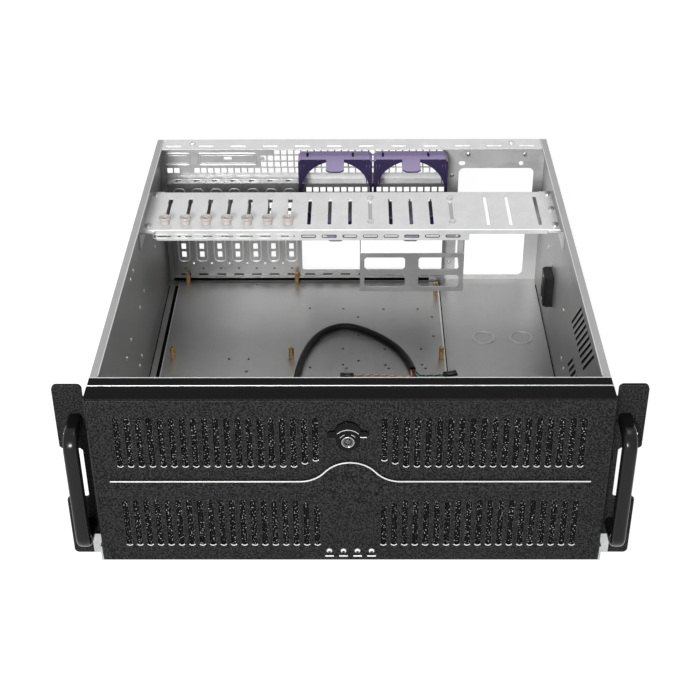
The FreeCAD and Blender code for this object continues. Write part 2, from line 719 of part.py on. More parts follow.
def chassis_base():
    body = new_body("chassis_base")
    inner = half - metal
    lip_edge = half - lip
    cut = bend / 3
    profile = outline(
        (-half, 0, cut, BEVEL), (half, 0, cut, BEVEL), (half, case_height, cut, BEVEL), (lip_edge, case_height),
        (lip_edge, case_height - hem), (lip_edge + metal, case_height - hem),
        (lip_edge + metal, case_height - metal), (inner, case_height - metal),
        (inner, metal), (-inner, metal),
        (-inner, case_height - metal), (-lip_edge - metal, case_height - metal),
        (-lip_edge - metal, case_height - hem), (-lip_edge, case_height - hem),
        (-lip_edge, case_height), (-half, case_height, cut, BEVEL))
    pad(body, "BaseFold", "XZ", frame_depth + metal, rear_inside, profile)
    ring = pocket(body, "FloorKnockout", "XY", metal / 2, metal,
                  *[ring_outline(knock_x, knock_y, knock_radius - inset, 20) for inset in (0, 0.8)])
    repeat(body, ring, "H", knock_pitch, 2)
    pocket(body, "WallHoles", "YZ", inner, half,
           *[small_hole(case_depth - setback, case_height - wall_hole_drop, wall_hole)
             for setback in (wall_hole_setback, wall_hole_setback + wall_hole_pitch)])
    louvres(body, inner)


def louvres(body, inner):
    """Two fields of slanted louvres pressed into the right wall."""
    for name, rear, low, rise, count in (("UpperLouvre", 205, 106, 44, 9), ("LowerLouvre", 203, 58, 24, 5)):
        cut = pocket(body, name, "YZ", inner, inner + metal / 2,
                     outline((rear, low), (rear + 4.4, low), (rear + 4.4 - rise, low + rise), (rear - rise, low + rise)))
        pattern = repeat(body, cut, "H", 9.9, count)
        pattern.Reversed = True


# ---------------------------------------------------------------- front

def front_frame():
    body = new_body("front_frame")
    opening = box_outline(-half + frame_side, half - frame_side, frame_sill, case_height - frame_head, 1.5, BEVEL)
    pad(body, "FrameFace", "XZ", 0, frame_wall, box_outline(-half, half, 0, case_height), opening)
    pad(body, "FrameRim", "XZ", frame_wall, frame_depth, box_outline(-half, half, 0, case_height),
        box_outline(-half + frame_wall, half - frame_wall, frame_wall, case_height - frame_wall))


def front_sheet():
    body = new_body("front_sheet")
    left, right = -half + frame_side - sheet_margin, half - frame_side + sheet_margin
    low, high = frame_sill - sheet_margin, case_height - frame_head + sheet_margin
    pad(body, "FrontSheet", "XZ", frame_depth, frame_depth + metal,
        box_outline(-half, half, 0, case_height),
        box_outline(left, -sheet_post / 2, low, high),
        box_outline(sheet_post / 2, right, low, high))


def rack_ear(word, side):
    body = new_body("rack_ear_" + word)
    inner, clear, edge = half, half + ear_gap, rack_width / 2
    top = case_height
    face = outline(
        (side * inner, 0), (side * edge, 0, ear_corner), (side * edge, notch_low, ear_corner / 2, BEVEL),
        (side * notch_inner, notch_low, ear_corner / 2, BEVEL),
        (side * notch_inner, notch_high, ear_corner / 2, BEVEL),
        (side * edge, notch_high, ear_corner / 2, BEVEL), (side * edge, top, ear_corner),
        (side * clear, top, ear_corner), (side * clear, top - ear_gap_height), (side * inner, top - ear_gap_height))
    holes = [round_slot(side * rack_spacing / 2, height, rack_slot_length, rack_slot_width)
             for height in (rack_low, rack_low + rack_pitch)]
    holes += [small_hole(side * grip_x, height, grip_screw) for height in (grip_low, grip_high)]
    pad(body, "EarFace" + word, "XZ", 0, ear_metal, face, *holes)
    near, far = across(side, inner, inner + metal)
    pad(body, "EarReturn" + word, "XZ", ear_metal, ear_return,
        box_outline(near, far, 0, top - ear_gap_height))


def handle(word, side):
    """Bow handle: a rounded square bar swept along two posts and a grip."""
    body = new_body("handle_" + word)
    spine = new_sketch(body, "HandlePath" + word, "YZ", side * grip_x)
    near, turn = grip_bend * OCTAGON_CUT, grip_bend - grip_reach
    path = outline((0, grip_low), (turn, grip_low), (near - grip_reach, grip_low + near),
                   (-grip_reach, grip_low + grip_bend), (-grip_reach, grip_high - grip_bend),
                   (near - grip_reach, grip_high - near), (turn, grip_high), (0, grip_high))[:-1]
    placed = [draw_edge(spine, *edge) for edge in path]
    for number, (index, first) in enumerate(placed):
        start, end = path[number][:2]
        fix_point(spine, index, first, start)
        if number + 1 < len(placed):
            after, after_first = placed[number + 1]
            spine.addConstraint(Sketcher.Constraint("Coincident", index, 3 - first, after, after_first))
        else:
            fix_point(spine, index, 3 - first, end)
    section = new_sketch(body, "HandleSection" + word, "XZ", 0)
    reach = grip_bar / 2
    draw(section, [box_outline(side * grip_x - reach, side * grip_x + reach,
                               grip_low - reach, grip_low + reach, grip_edge, BEVEL)])
    pipe = body.newObject("PartDesign::AdditivePipe", "HandleBow" + word)
    pipe.Profile = section
    pipe.Spine = (spine, ["Edge%d" % (number + 1) for number in range(len(path))])
    pipe.Transition = "Right corner"


def handle_screws():
    solids = []
    for word, side in SIDES:
        for level, height in (("low", grip_low), ("high", grip_high)):
            tag = "handle_screw_%s_%s" % (word, level)
            head = prism(tag + "_head", (side * grip_x, ear_metal, height), "Y",
                         grip_screw_head, grip_screw_depth)
            shank = prism(tag + "_shank", (side * grip_x, 0, height), "Y", grip_screw, ear_metal)
            solids.append(fuse(tag, head, shank))
    group("handle_screws", solids)


def hinge(word, side):
    """Zinc bracket on the ear and the pin it holds for the door."""
    body = new_body("hinge_bracket_" + word)
    near, far = across(side, door_half + hinge_gap, door_half + hinge_gap + hinge_metal)
    pad(body, "HingeFlange" + word, "YZ", near, far,
        box_outline(-hinge_front, 0, pivot_height - hinge_flange, pivot_height + hinge_flange),
        ring_outline(-pivot_setback, pivot_height, pin_radius * 1.04, 12))
    outer = across(side, door_half + hinge_gap + hinge_metal, hinge_reach)
    pad(body, "HingePlate" + word, "XZ", -hinge_metal, 0,
        box_outline(outer[0], outer[1], hinge_low, hinge_high))
    pin = across(side, door_half - door_wall - pin_inside, door_half + hinge_gap + hinge_metal)
    item = cylinder("hinge_pin_" + word, (pin[0], -pivot_setback, pivot_height), "X",
                    pin_radius, pin[1] - pin[0])
    item.Label = "hinge_pin_" + word
    NODES.append(item)


# ---------------------------------------------------------------- door

LENS_SIDES = 8


def swell(edge, crown):
    """The two arcs centres and the joint of an S-curve from a band edge to its crown."""
    rise = crown - edge
    radius = (swell_half * swell_half + rise * rise) / (4 * rise)
    return edge + radius, crown - radius, (edge + crown) / 2


def band_outline(grow):
    """Outline of the raised band, made larger all round by the given amount."""
    high, low, reach = band_high + grow, band_low - grow, band_reach + grow
    near_top, far_top, joint_top = swell(high, high + swell_up)
    near_low, far_low, joint_low = swell(low, low - swell_down)
    middle = swell_half / 2
    return outline(
        (-reach, high), (-swell_half, high), (-middle, joint_top, 0, (-swell_half, near_top)),
        (middle, joint_top, 0, (dim(0), far_top)), (swell_half, high, 0, (swell_half, near_top)),
        (reach, high), (reach, low), (swell_half, low), (middle, joint_low, 0, (swell_half, near_low)),
        (-middle, joint_low, 0, (dim(0), far_low)), (-swell_half, low, 0, (-swell_half, near_low)),
        (-reach, low))


def front_door():
    body = new_body("front_door")
    back = -door_gap
    face = door_front + door_wall
    shell = pad(body, "DoorBlock", "XZ", door_front, back,
                box_outline(-door_half, door_half, door_low, case_height))
    bevel_edges(body, "DoorEdge", shell, door_edge, lambda edge: edge.BoundBox.YMax < door_front.value + 0.01)
    pocket(body, "DoorHollow", "XZ", face, back,
           box_outline(-door_half + door_wall, door_half - door_wall,
                       door_low + door_wall, case_height - door_wall))
    pad(body, "DoorBand", "XZ", door_front - band_rise, door_front, band_outline(0))
    starts = (-slot_outer, slot_outer - slot_pitch * (slot_count - 1))
    spans = ((upper_slot_low, upper_slot_high), (lower_slot_low, lower_slot_high))
    slots = [span_slot(x, low, high, slot_width) for x in starts for low, high in spans]
    cut = pocket(body, "DoorSlots", "XZ", door_front, face, *slots)
    repeat(body, cut, "H", slot_pitch, slot_count)
    inner = []
    for side in (-1, 1):
        for number in (1, 2):
            x = side * (slot_outer - slot_pitch * (slot_count - 1 + number))
            shift = slot_step * number
            inner.append(span_slot(x, upper_slot_low + shift, upper_slot_high, slot_width))
            inner.append(span_slot(x, lower_slot_low, lower_slot_high - shift, slot_width))
    pocket(body, "DoorInnerSlots", "XZ", door_front, face, *inner)
    lenses = [ring_outline(lens_pitch * (number - 1.5), lens_height, lens_radius, LENS_SIDES)
              for number in range(4)]
    pocket(body, "DoorHoles", "XZ", door_front, face,
           ring_outline(lock_x, lock_z, barrel_radius + barrel_clearance, 20), *lenses)
    pocket(body, "DoorPinHoles", "YZ", -door_half, door_half,
           circle(-pivot_setback, pivot_height, pin_radius + pin_clearance))


def air_filter():
    body = new_body("air_filter")
    face = door_front + door_wall
    pad(body, "Foam", "XZ", face, face + foam_depth,
        box_outline(-foam_half, foam_half, foam_low, foam_high),
        ring_outline(lock_x, lock_z, foam_hole, 12))


def lock_escutcheon():
    body = new_body("lock_escutcheon")
    front = door_front - trim_depth
    wing = lock_z + wing_height
    pad(body, "TrimRing", "XZ", front, door_front, ring_outline(lock_x, lock_z, trim_radius, 20))
    pad(body, "TrimWings", "XZ", front, door_front,
        slot_outline(lock_x, wing, wing_reach * 2, wing_width))
    pad(body, "TrimDome", "XZ", front, door_front, ring_outline(lock_x, lock_z + dome_height, dome_radius, 20))
    pocket(body, "TrimBore", "XZ", front, door_front,
           ring_outline(lock_x, lock_z, barrel_radius + barrel_clearance, 20))


def lock():
    body = new_body("lock_barrel")
    cam_front = frame_wall + cam_clearance
    front = door_front - barrel_proud
    pad(body, "Barrel", "XZ", front, cam_front, circle(lock_x, lock_z, barrel_radius))
    pocket(body, "KeySlot", "XZ", front, front + 3,
           box_outline(lock_x - 0.8, lock_x + 0.8, lock_z - 3, lock_z + 3))
    cam = new_body("lock_cam")
    pad(cam, "Cam", "XZ", cam_front, cam_front + cam_metal,
        box_outline(lock_x - cam_half, lock_x + cam_reach, lock_z - cam_half, lock_z + cam_half,
                    cam_half / 3, BEVEL))


def led_lenses():
    solids = [prism("led_lens_%d" % (number + 1),
                    (lens_pitch * (number - 1.5), door_front - lens_proud, lens_height), "Y",
                    lens_radius, door_wall + lens_proud, LENS_SIDES) for number in range(4)]
    group("led_lenses", solids)


# ---------------------------------------------------------------- rear wall

def rear_panel():
    """Upper rear wall, the strip beside the step, and the top flange, folded from one sheet."""
    body = new_body("rear_panel")
    pad(body, "PanelFace", "XZ", rear_inside, case_depth, outline(
        (-half, 0), (bay_left, 0), (bay_left, bay_high), (bay_right, bay_high), (bay_right, 0),
        (half, 0), (half, case_height), (-half, case_height)), psu_outline(),
        slot_outline(psu_hole_left, psu_hole_z, psu_hole * 3, psu_hole * 2),
        small_hole(psu_hole_left + psu_hole_pitch, psu_hole_z, psu_hole))
    edge = half - lip - flange_margin
    pad(body, "PanelFlange", "XY", case_height - metal, case_height,
        box_outline(-edge, edge, case_depth - rear_flange, rear_inside),
        small_hole(-flange_screw_x, flange_screw_y, screw_radius),
        small_hole(flange_screw_x, flange_screw_y, screw_radius))
    dimple = pocket(body, "FlangeDimple", "XY", case_height - dimple_depth, case_height,
                    box_outline(dimple_first - dimple_length / 2, dimple_first + dimple_length / 2,
                                dimple_y - dimple_width / 2, dimple_y + dimple_width / 2))
    repeat(body, dimple, "H", dimple_pitch, dimple_count)
    low_vent = pocket(body, "LowVent", "XZ", rear_inside, case_depth,
                      box_outline(vent_left, vent_left + vent_cell, vent_low, vent_low + vent_cell))
    repeat(body, low_vent, "H", vent_pitch, vent_columns)
    upper = vent_low + vent_pitch
    high_vent = pocket(body, "FanVent", "XZ", rear_inside, case_depth,
                       box_outline(fan_vent_left, fan_vent_left + vent_cell, upper, upper + vent_cell))
    repeat(body, high_vent, "H", vent_pitch, fan_vent_columns, ("V", vent_pitch, fan_vent_rows))
    for name, left, right in (("KnockoutA", -204, -180), ("KnockoutB", -167, -107)):
        pocket(body, name, "XZ", rear_inside, rear_inside + knock_groove,
               box_outline(left, right, knock_low, knock_high, 1.5, BEVEL),
               box_outline(left + 0.8, right - 0.8, knock_low + 0.8, knock_high - 0.8, 1, BEVEL))


def psu_outline():
    """Power-supply opening with a shoulder on its right side."""
    shoulder = psu_right - psu_ledge
    return outline(
        (psu_left, psu_low, psu_corner), (shoulder, psu_low, psu_corner), (shoulder, psu_ledge_high),
        (psu_right, psu_ledge_high), (psu_right, psu_high, psu_corner), (psu_left, psu_high, psu_corner))


def rear_plate():
    """Lower rear wall: it stands forward of the panel, with side returns and a ledge on top."""
    body = new_body("rear_plate")
    io = box_outline(io_left, io_right, io_low, io_high, io_corner, BEVEL)
    pad(body, "PlateFace", "XZ", bay_y, bay_y + metal,
        box_outline(bay_left, bay_right, metal, bay_high), io)
    returns = [box_outline(bay_left, bay_left + metal, metal, bay_high - metal),
               box_outline(bay_right - metal, bay_right, metal, bay_high - metal)]
    pad(body, "PlateReturns", "XZ", bay_y + metal, rear_inside, *returns)
    pad(body, "PlateLedge", "XZ", bay_y + metal, rear_inside,
        box_outline(bay_left, bay_right, bay_high - metal, bay_high))
    pad(body, "PlateFoot", "XZ", bay_y - bay_flange, bay_y,
        box_outline(bay_left, bay_right, bay_low, bay_low + metal))
    reach = card_open / 2
    opening = pocket(body, "CardSlot", "XZ", bay_y, bay_y + metal,
                     box_outline(card_first - reach, card_first + reach, card_low, card_high))
    repeat(body, opening, "H", card_pitch, card_count)
    middle = card_first + card_pitch / 2
    gap = pocket(body, "GapHole", "XZ", bay_y, bay_y + metal,
                 box_outline(middle - gap_hole / 2, middle + gap_hole / 2, gap_hole_low, gap_hole_low + gap_hole))
    repeat(body, gap, "H", card_pitch, card_count - 1)
    tapped = pocket(body, "LedgeHole", "XY", bay_high - metal, bay_high,
                    small_hole(card_first, ledge_hole_y, ledge_hole))
    repeat(body, tapped, "H", card_pitch, card_count)
    foot = pocket(body, "FootSlot", "XY", bay_low, bay_low + metal,
                  box_outline(foot_first - foot_slot / 2, foot_first + foot_slot / 2,
                              bay_y - bay_flange + metal, bay_y))
    repeat(body, foot, "H", card_pitch, foot_count)
    column = []
    for row in range(2):
        low = row_vent_low + row_vent_step * row
        column.append(box_outline(row_vent_first - vent_cell / 2, row_vent_first + vent_cell / 2,
                                  low, low + vent_cell))
    vent = pocket(body, "PlateVent", "XZ", bay_y, bay_y + metal, *column)
    repeat(body, vent, "H", row_vent_pitch, row_vent_count)


def slot_cover(number):
    """Vented cover: a plate inside the wall with a tab over the ledge."""
    body = new_body("slot_cover_%d" % (number + 1))
    x = card_first + card_pitch * number
    reach = cover_width / 2
    inner = bay_y - cover_metal
    pad(body, "CoverPlate%d" % number, "XZ", inner, bay_y,
        outline((x - reach, cover_low, cover_corner, BEVEL), (x + reach, cover_low, cover_corner, BEVEL),
                (x + reach, bay_high), (x - reach, bay_high)))
    pad(body, "CoverTab%d" % number, "XY", bay_high, bay_high + cover_metal,
        box_outline(x - reach, x + reach, inner, bay_y + card_tab), small_hole(x, ledge_hole_y, ledge_hole))
    window = pocket(body, "CoverWindow%d" % number, "XZ", inner, bay_y,
                    box_outline(x - window_width / 2, x + window_width / 2,
                                window_first - window_height / 2, window_first + window_height / 2))
    repeat(body, window, "V", window_pitch, window_count)


# ---------------------------------------------------------------- tray

SPARE_HOLES = ((-65.8, -154.9), (-45.2, -154.9), (-45.8, -178), (-123.8, -191), (16.5, -52.5), (53.9, -54.1),
               (98.4, -54.8), (136.2, -54.9), (70, -71.6), (151.6, -71.8), (70.5, -108.3), (151.4, -110.5),
               (54, -135.3), (98.2, -136), (137, -136.1), (70.5, -158.4), (54.3, -165.5), (98.7, -166.5),
               (136.9, -166), (20, -171), (58, -172), (102.3, -172.7), (140.3, -172.7), (16.9, -190), (-45.7, -0.8))


def board_spots():
    """Centres of the nine board posts."""
    left, right = board_x - board_left_step, board_x + board_right_step
    middle, front = board_y - board_mid_step, board_y - board_front_step
    spots = [(left, board_y), (board_x, board_y), (right, board_y - board_rear_offset)]
    return spots + [(x, y) for y in (middle, front) for x in (left, board_x, right)]


def motherboard_tray():
    body = new_body("motherboard_tray")
    under = tray_top - tray_metal
    pad(body, "TrayFold", "XZ", tray_front, tray_rear, outline(
        (tray_left, metal), (tray_left + tray_metal, metal), (tray_left + tray_metal, under),
        (tray_right - tray_metal, under), (tray_right - tray_metal, metal), (tray_right + tray_foot, metal),
        (tray_right + tray_foot, metal + tray_metal), (tray_right, metal + tray_metal),
        (tray_right, tray_top), (tray_left, tray_top)))
    spare = [ring_outline(board_x + x, board_y + y, spare_hole, 6) for x, y in SPARE_HOLES]
    for first in range(0, len(spare), 5):
        pocket(body, "SpareHoles%d" % first, "XY", under, tray_top, *spare[first:first + 5])


def standoffs():
    group("standoffs", [cylinder("standoff_%d" % (number + 1), (x, y, tray_top), "Z", post_radius, post_height)
                        for number, (x, y) in enumerate(board_spots())])


# ---------------------------------------------------------------- cross bar

CAGE_COLUMNS = (10, 14)
TALL_SLOTS = (137, 159.3, 188.3)


def column(number):
    return column_first + column_pitch * number


def bar_screw_spots():
    reach = half - metal - bar_margin - bar_screw_margin
    return [(-reach, bar_screw_front), (-reach, bar_screw_rear), (reach, bar_screw_front),
            (reach, bar_screw_rear), (reach, (bar_screw_front + bar_screw_rear) / 2)]


def cage_screw_spots():
    return [(column(number), y) for number in CAGE_COLUMNS for y in (column_low + 4.5, column_high - 1.5)]


def cross_bar():
    body = new_body("cross_bar")
    reach = half - metal - bar_margin
    top, under = bar_top, bar_top - bar_metal
    pad(body, "BarPlate", "XY", under, top, box_outline(-reach, reach, bar_front, bar_rear))
    fold = half - metal - bracket_reach - bracket_clearance
    pad(body, "BarFlange", "XZ", bar_front, bar_front + bar_metal, outline(
        (-fold, bar_flange_low, 2), (bar_flange_end, bar_flange_low, 2), (bar_flange_end, bar_flange_mid),
        (fold, bar_flange_mid), (fold, under), (-fold, under)))
    pad(body, "BarRearFlange", "XZ", bar_rear - bar_metal, bar_rear,
        box_outline(-fold, fold, bar_flange_mid, under))
    bar_slots(body, under, top)
    slit = pocket(body, "EdgeSlit", "XZ", bar_front, bar_front + bar_metal,
                  box_outline(column_first - edge_slot_length / 2, column_first + edge_slot_length / 2,
                              edge_slot_z - edge_slot_width / 2, edge_slot_z + edge_slot_width / 2))
    repeat(body, slit, "H", column_pitch, 15)
    holes = [small_hole(x, y, screw_radius) for x, y in bar_screw_spots() + cage_screw_spots()]
    pocket(body, "BarScrewHoles", "XY", under, top, *holes)


def bar_slots(body, under, top):
    """Key slots for the seven retainers, then the plain slots of the other columns."""
    narrow, wide = key_narrow / 2, key_wide / 2
    shoulder = column_high - key_length
    front_cut, rear_cut = key_narrow * OCTAGON_CUT, key_wide * OCTAGON_CUT
    key = pocket(body, "KeySlots", "XY", under, top, outline(
        (column_first - narrow, column_low, front_cut, BEVEL), (column_first + narrow, column_low, front_cut, BEVEL),
        (column_first + narrow, shoulder), (column_first + wide, shoulder),
        (column_first + wide, column_high, rear_cut, BEVEL), (column_first - wide, column_high, rear_cut, BEVEL),
        (column_first - wide, shoulder), (column_first - narrow, shoulder)))
    repeat(body, key, "H", column_pitch, 7)
    for name, first, count in (("SlotsA", 7, 3), ("SlotsB", 11, 3)):
        cut = pocket(body, name, "XY", under, top,
                     span_slot(column(first), column_low, column_high, plain_slot))
        repeat(body, cut, "H", column_pitch, count)
    short = [span_slot(column(number), column_low + 11, column_high - 8, plain_slot)
             for number in CAGE_COLUMNS]
    tall = [span_slot(x, column_low - 1.7, column_high + 4.7, plain_slot) for x in TALL_SLOTS]
    pocket(body, "SlotsC", "XY", under, top, *(short + tall))


def bar_bracket(word, side):
    body = new_body("bar_bracket_" + word)
    under = bar_top - bar_metal
    low, high = bar_front - bracket_overlap, bar_rear + bracket_overlap
    wall = half - metal
    ledge = across(side, wall - bracket_reach, wall)
    leg = across(side, wall - bracket_metal, wall)
    pad(body, "BracketLeg" + word, "XY", under - bracket_drop, under - bracket_metal,
        box_outline(leg[0], leg[1], low, high))
    holes = [small_hole(x, y, screw_radius) for x, y in bar_screw_spots() if sign(x.value) == side]
    pad(body, "BracketLedge" + word, "XY", under - bracket_metal, under,
        box_outline(ledge[0], ledge[1], low, high), *holes)


def card_retainer(number):
    """Nylon peg that slides along its key slot: head, neck, stem and foot turned as one."""
    body = new_body("card_retainer_%d" % (number + 1))
    x = column(number)
    under = bar_top - bar_metal - peg_lift
    neck_top = bar_top + peg_neck_depth
    levels = (("Foot", under - peg_foot_depth, under, peg_foot), ("Stem", under, bar_top, key_narrow / 2 - peg_clearance),
              ("Neck", bar_top, neck_top, peg_neck), ("Head", neck_top, neck_top + peg_head_depth, peg_head))
    for name, low, high, radius in levels:
        pad(body, "Peg%s%d" % (name, number), "XY", low, high, ring_outline(x, peg_rest, radius, 8))


# ---------------------------------------------------------------- cage and fans

def drive_cage():
    body = new_body("drive_cage")
    left, right = cage_left, cage_left + cage_width
    top = bar_top - bar_metal
    pad(body, "CageFold", "XZ", cage_front + cage_metal, cage_rear,
        outline((left, cage_low), (left + cage_metal, cage_low), (left + cage_metal, top - cage_metal),
                (left + cage_flange, top - cage_metal), (left + cage_flange, top), (left, top)),
        outline((right - cage_metal, cage_low), (right, cage_low), (right, top),
                (right - cage_flange, top), (right - cage_flange, top - cage_metal),
                (right - cage_metal, top - cage_metal)))
    low = cage_low + cage_window_margin
    windows = []
    for number in (0, 1):
        first = left + cage_window_side
        last = right - cage_window_side
        base = low + cage_window_pitch * number
        windows.append(box_outline(first, first + cage_window_width, base, base + cage_window_height, 2, BEVEL))
        windows.append(box_outline(last - cage_window_width, last, base, base + cage_window_height, 2, BEVEL))
    pad(body, "CageFront", "XZ", cage_front, cage_front + cage_metal,
        box_outline(left, right, cage_low, cage_front_high), *windows)
    pocket(body, "CageScrewHoles", "XY", top - cage_metal, top,
           *[small_hole(x, y, screw_radius) for x, y in cage_screw_spots()])
    pocket(body, "CageRailSlots", "YZ", left, right,
           *[round_slot(cage_front + drive_slot_first + y, cage_low + drive_slot_low + z,
                        drive_slot_length, drive_slot_width)
             for y in (0, drive_slot_pitch) for z in (0, drive_pitch)])


def fan_holder(word, number):
    """Square plastic holder, open at the back, with a round opening and two latch tongues."""
    body = new_body("fan_holder_" + word)
    left = fan_left + fan_pitch * number
    right, high = left + fan_side, fan_low + fan_side
    front = bay_y - fan_depth
    wall = fan_wall
    pad(body, "FanBlock" + word, "XZ", front, bay_y, outline(
        (left, fan_low), (right, fan_low), (right, high, fan_corner / 2, BEVEL), (left, high, fan_corner / 2, BEVEL)))
    pocket(body, "FanHollow" + word, "XZ", front + wall, bay_y,
           box_outline(left + wall, right - wall, fan_low + wall, high - wall, fan_corner / 2, BEVEL))
    pocket(body, "FanBore" + word, "XZ", front, front + wall,
           ring_outline(left + fan_side / 2, fan_low + fan_side / 2, fan_bore, 40))
    near = left + tongue_offset
    far = near + tongue_width
    tip = front - tongue_reach
    end = [(near, front), (near, tip, tongue_round, BEVEL), (far, tip, tongue_round, BEVEL), (far, front)]
    pad(body, "TopTongue" + word, "XY", high - tongue_metal, high, outline(*end))
    lower = fan_low - tongue_drop
    pad(body, "LowTongue" + word, "XY", lower, lower + tongue_metal, outline(*end))
    pad(body, "LowTongueStem" + word, "XY", lower + tongue_metal, fan_low + wall,
        box_outline(near, far, front - tongue_metal, front))
    pocket(body, "FanSlits" + word, "XY", high - wall, high,
           *[box_outline(left + x - 1.2, left + x + 1.2, front + 7, front + 18) for x in (10, 59)])


# ---------------------------------------------------------------- small parts

def wall_switch():
    body = new_body("wall_switch")
    wall = half - metal
    face = wall - switch_depth
    rear = switch_front + switch_length
    pad(body, "SwitchBlock", "XY", switch_low, switch_low + switch_height, outline(
        (wall, switch_front), (wall, rear), (face + switch_bevel, rear),
        (face, rear - switch_bevel), (face, switch_front + switch_bevel), (face + switch_bevel, switch_front)))


def led_board():
    body = new_body("led_board")
    back = frame_depth + metal
    pad(body, "LedBoard", "XZ", back, back + led_board_metal,
        box_outline(led_board_x - led_board_half, led_board_x + led_board_half, led_board_low, led_board_high))


def rounded_path(points):
    """Route with each corner rounded as widely as its two runs allow, in short chords."""
    line, radii = [points[0]], []
    for before, corner, after in zip(points, points[1:], points[2:]):
        back, ahead = before - corner, after - corner
        turn = math.pi - back.getAngle(ahead)
        cut = 0.45 * min(back.Length, ahead.Length)
        radius = cut / math.tan(turn / 2)
        radii.append(round(radius, 1))
        back.normalize()
        ahead.normalize()
        enter = corner + back * cut
        centre = enter + (ahead + back * math.cos(turn)).normalize() * radius
        across, along = enter - centre, back * -radius
        chords = max(1, math.ceil(turn / CHORD_TURN))
        for number in range(chords + 1):
            swept = turn * number / chords
            line.append(centre + across * math.cos(swept) + along * math.sin(swept))
    line.append(points[-1])
    return Part.makePolygon(line), radii


def tube(name, radius, points, sides):
    """A tube along a hand-chosen route, drawn with few facets round it."""
    points = [Vector(*point) for point in points]
    wire, radii = rounded_path(points)
    heading = (points[1] - points[0]).normalize()
    sideways = heading.cross(Vector(0, 0, 1)).normalize()
    upward = sideways.cross(heading)
    turns = [2 * math.pi * number / sides for number in range(sides + 1)]
    ring = Part.makePolygon([points[0] + sideways * (radius.value * math.cos(turn))
                             + upward * (radius.value * math.sin(turn)) for turn in turns])
    section = sides * radius.value ** 2 * math.sin(2 * math.pi / sides) / 2
    shell = wire.makePipeShell([ring], True, False, 1)
    item = doc.addObject("Part::Feature", name)
    item.Label = name
    item.Shape = shell
    NODES.append(item)
    expected = section * wire.Length
    print("%s: length %.0f, radii %s, volume off by %.2f%%"
          % (name, wire.Length, radii, 100 * (shell.Volume / expected - 1)))


CHORD_TURN = math.radians(20)
SLEEVE_ROUTE = ((-44, 13.6, 9.5), (-44, 55, 9.5), (-50, 100, 9.5), (-46, 150, 9.5), (-56, 202, 9.5),
                (-57.5, 254, 9.5), (-50, 306, 9.5), (-34, 343, 9.5), (-8, 358, 9.5), (20, 343, 9.5),
                (45, 318, 9.5), (60, 287, 9.5), (63, 270, 9.5))
LEAD_ROUTES = {
    "lead_1": ((60.833, 269.618, 9.5), (63.266, 255.831, 9.5), (49, 257.5, 9.2), (30, 261, 8.6),
               (12, 262.5, 7.5), (2, 262.5, 7.4)),
    "lead_2": ((63, 270, 9.5), (65.3, 256.967, 9.5), (73, 252.5, 8.8), (81, 257, 9), (87, 249, 7.6),
               (84, 238, 7.4)),
    "lead_3": ((65.167, 270.382, 9.5), (67.25, 258.578, 9.5), (80, 260.5, 8.6), (87, 262, 7.4),
               (95, 264, 7.4)),
}


def cable():
    """Sleeved front-panel cable on the tray, with three leads and their plugs."""
    tube("front_panel_cable", sleeve_radius, SLEEVE_ROUTE, 10)
    for number, (name, route) in enumerate(sorted(LEAD_ROUTES.items())):
        tube(name, lead_radius, route, 6)
        plug("plug_%d" % (number + 1), route[-2], route[-1])


def plug(name, before, end):
    """Small plug in line with the end of its lead."""
    item = doc.addObject("Part::Box", name)
    item.Label = name
    bind(item, "Length", plug_length)
    bind(item, "Width", plug_width)
    bind(item, "Height", plug_height)
    heading = math.degrees(math.atan2(end[1] - before[1], end[0] - before[0]))
    turn = Rotation(Vector(0, 0, 1), heading)
    corner = turn.multVec(Vector(0, -plug_width.value / 2, 0)) + Vector(end[0], end[1], tray_top.value)
    item.Placement = FreeCAD.Placement(corner, turn)
    NODES.append(item)


# ---------------------------------------------------------------- assembly

def build():
    chassis_base()
    front_frame()
    front_sheet()
    for word, side in SIDES:
        rack_ear(word, side)
        handle(word, side)
        hinge(word, side)
        bar_bracket(word, side)
    handle_screws()
    front_door()
    air_filter()
    lock_escutcheon()
    lock()
    led_lenses()
    rear_panel()
    rear_plate()
    for number in range(7):
        slot_cover(number)
        card_retainer(number)
    motherboard_tray()
    standoffs()
    cross_bar()
    screws("bar_screws", bar_screw_spots(), bar_top)
    screws("cage_screws", cage_screw_spots(), bar_top)
    screws("flange_screws", [(-flange_screw_x, flange_screw_y), (flange_screw_x, flange_screw_y)], case_height)
    drive_cage()
    for number, (word, side) in enumerate(SIDES):
        fan_holder(word, number)
    wall_switch()
    led_board()
    cable()


def check_and_export():
    doc.recompute()
    failed = [item.Name for item in doc.Objects if {"Invalid", "Error"} & set(item.State)]
    for node in NODES:
        if node.Shape.isNull() or not node.Shape.isValid() or not node.Shape.Solids:
            failed.append(node.Label)
    if failed:
        raise RuntimeError("failed: " + ", ".join(failed))
    os.makedirs("parts", exist_ok=True)
    for node in NODES:
        node.Shape.exportStep("parts/%s.step" % node.Label)
    print("%d nodes" % len(NODES))


build()
check_and_export()
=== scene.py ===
"""Looks of the empty rackmount server case: camera, light, materials and fine detail."""
import json
import math
import random

import bmesh
import bpy
import numpy as np
from mathutils import Matrix, Vector, noise

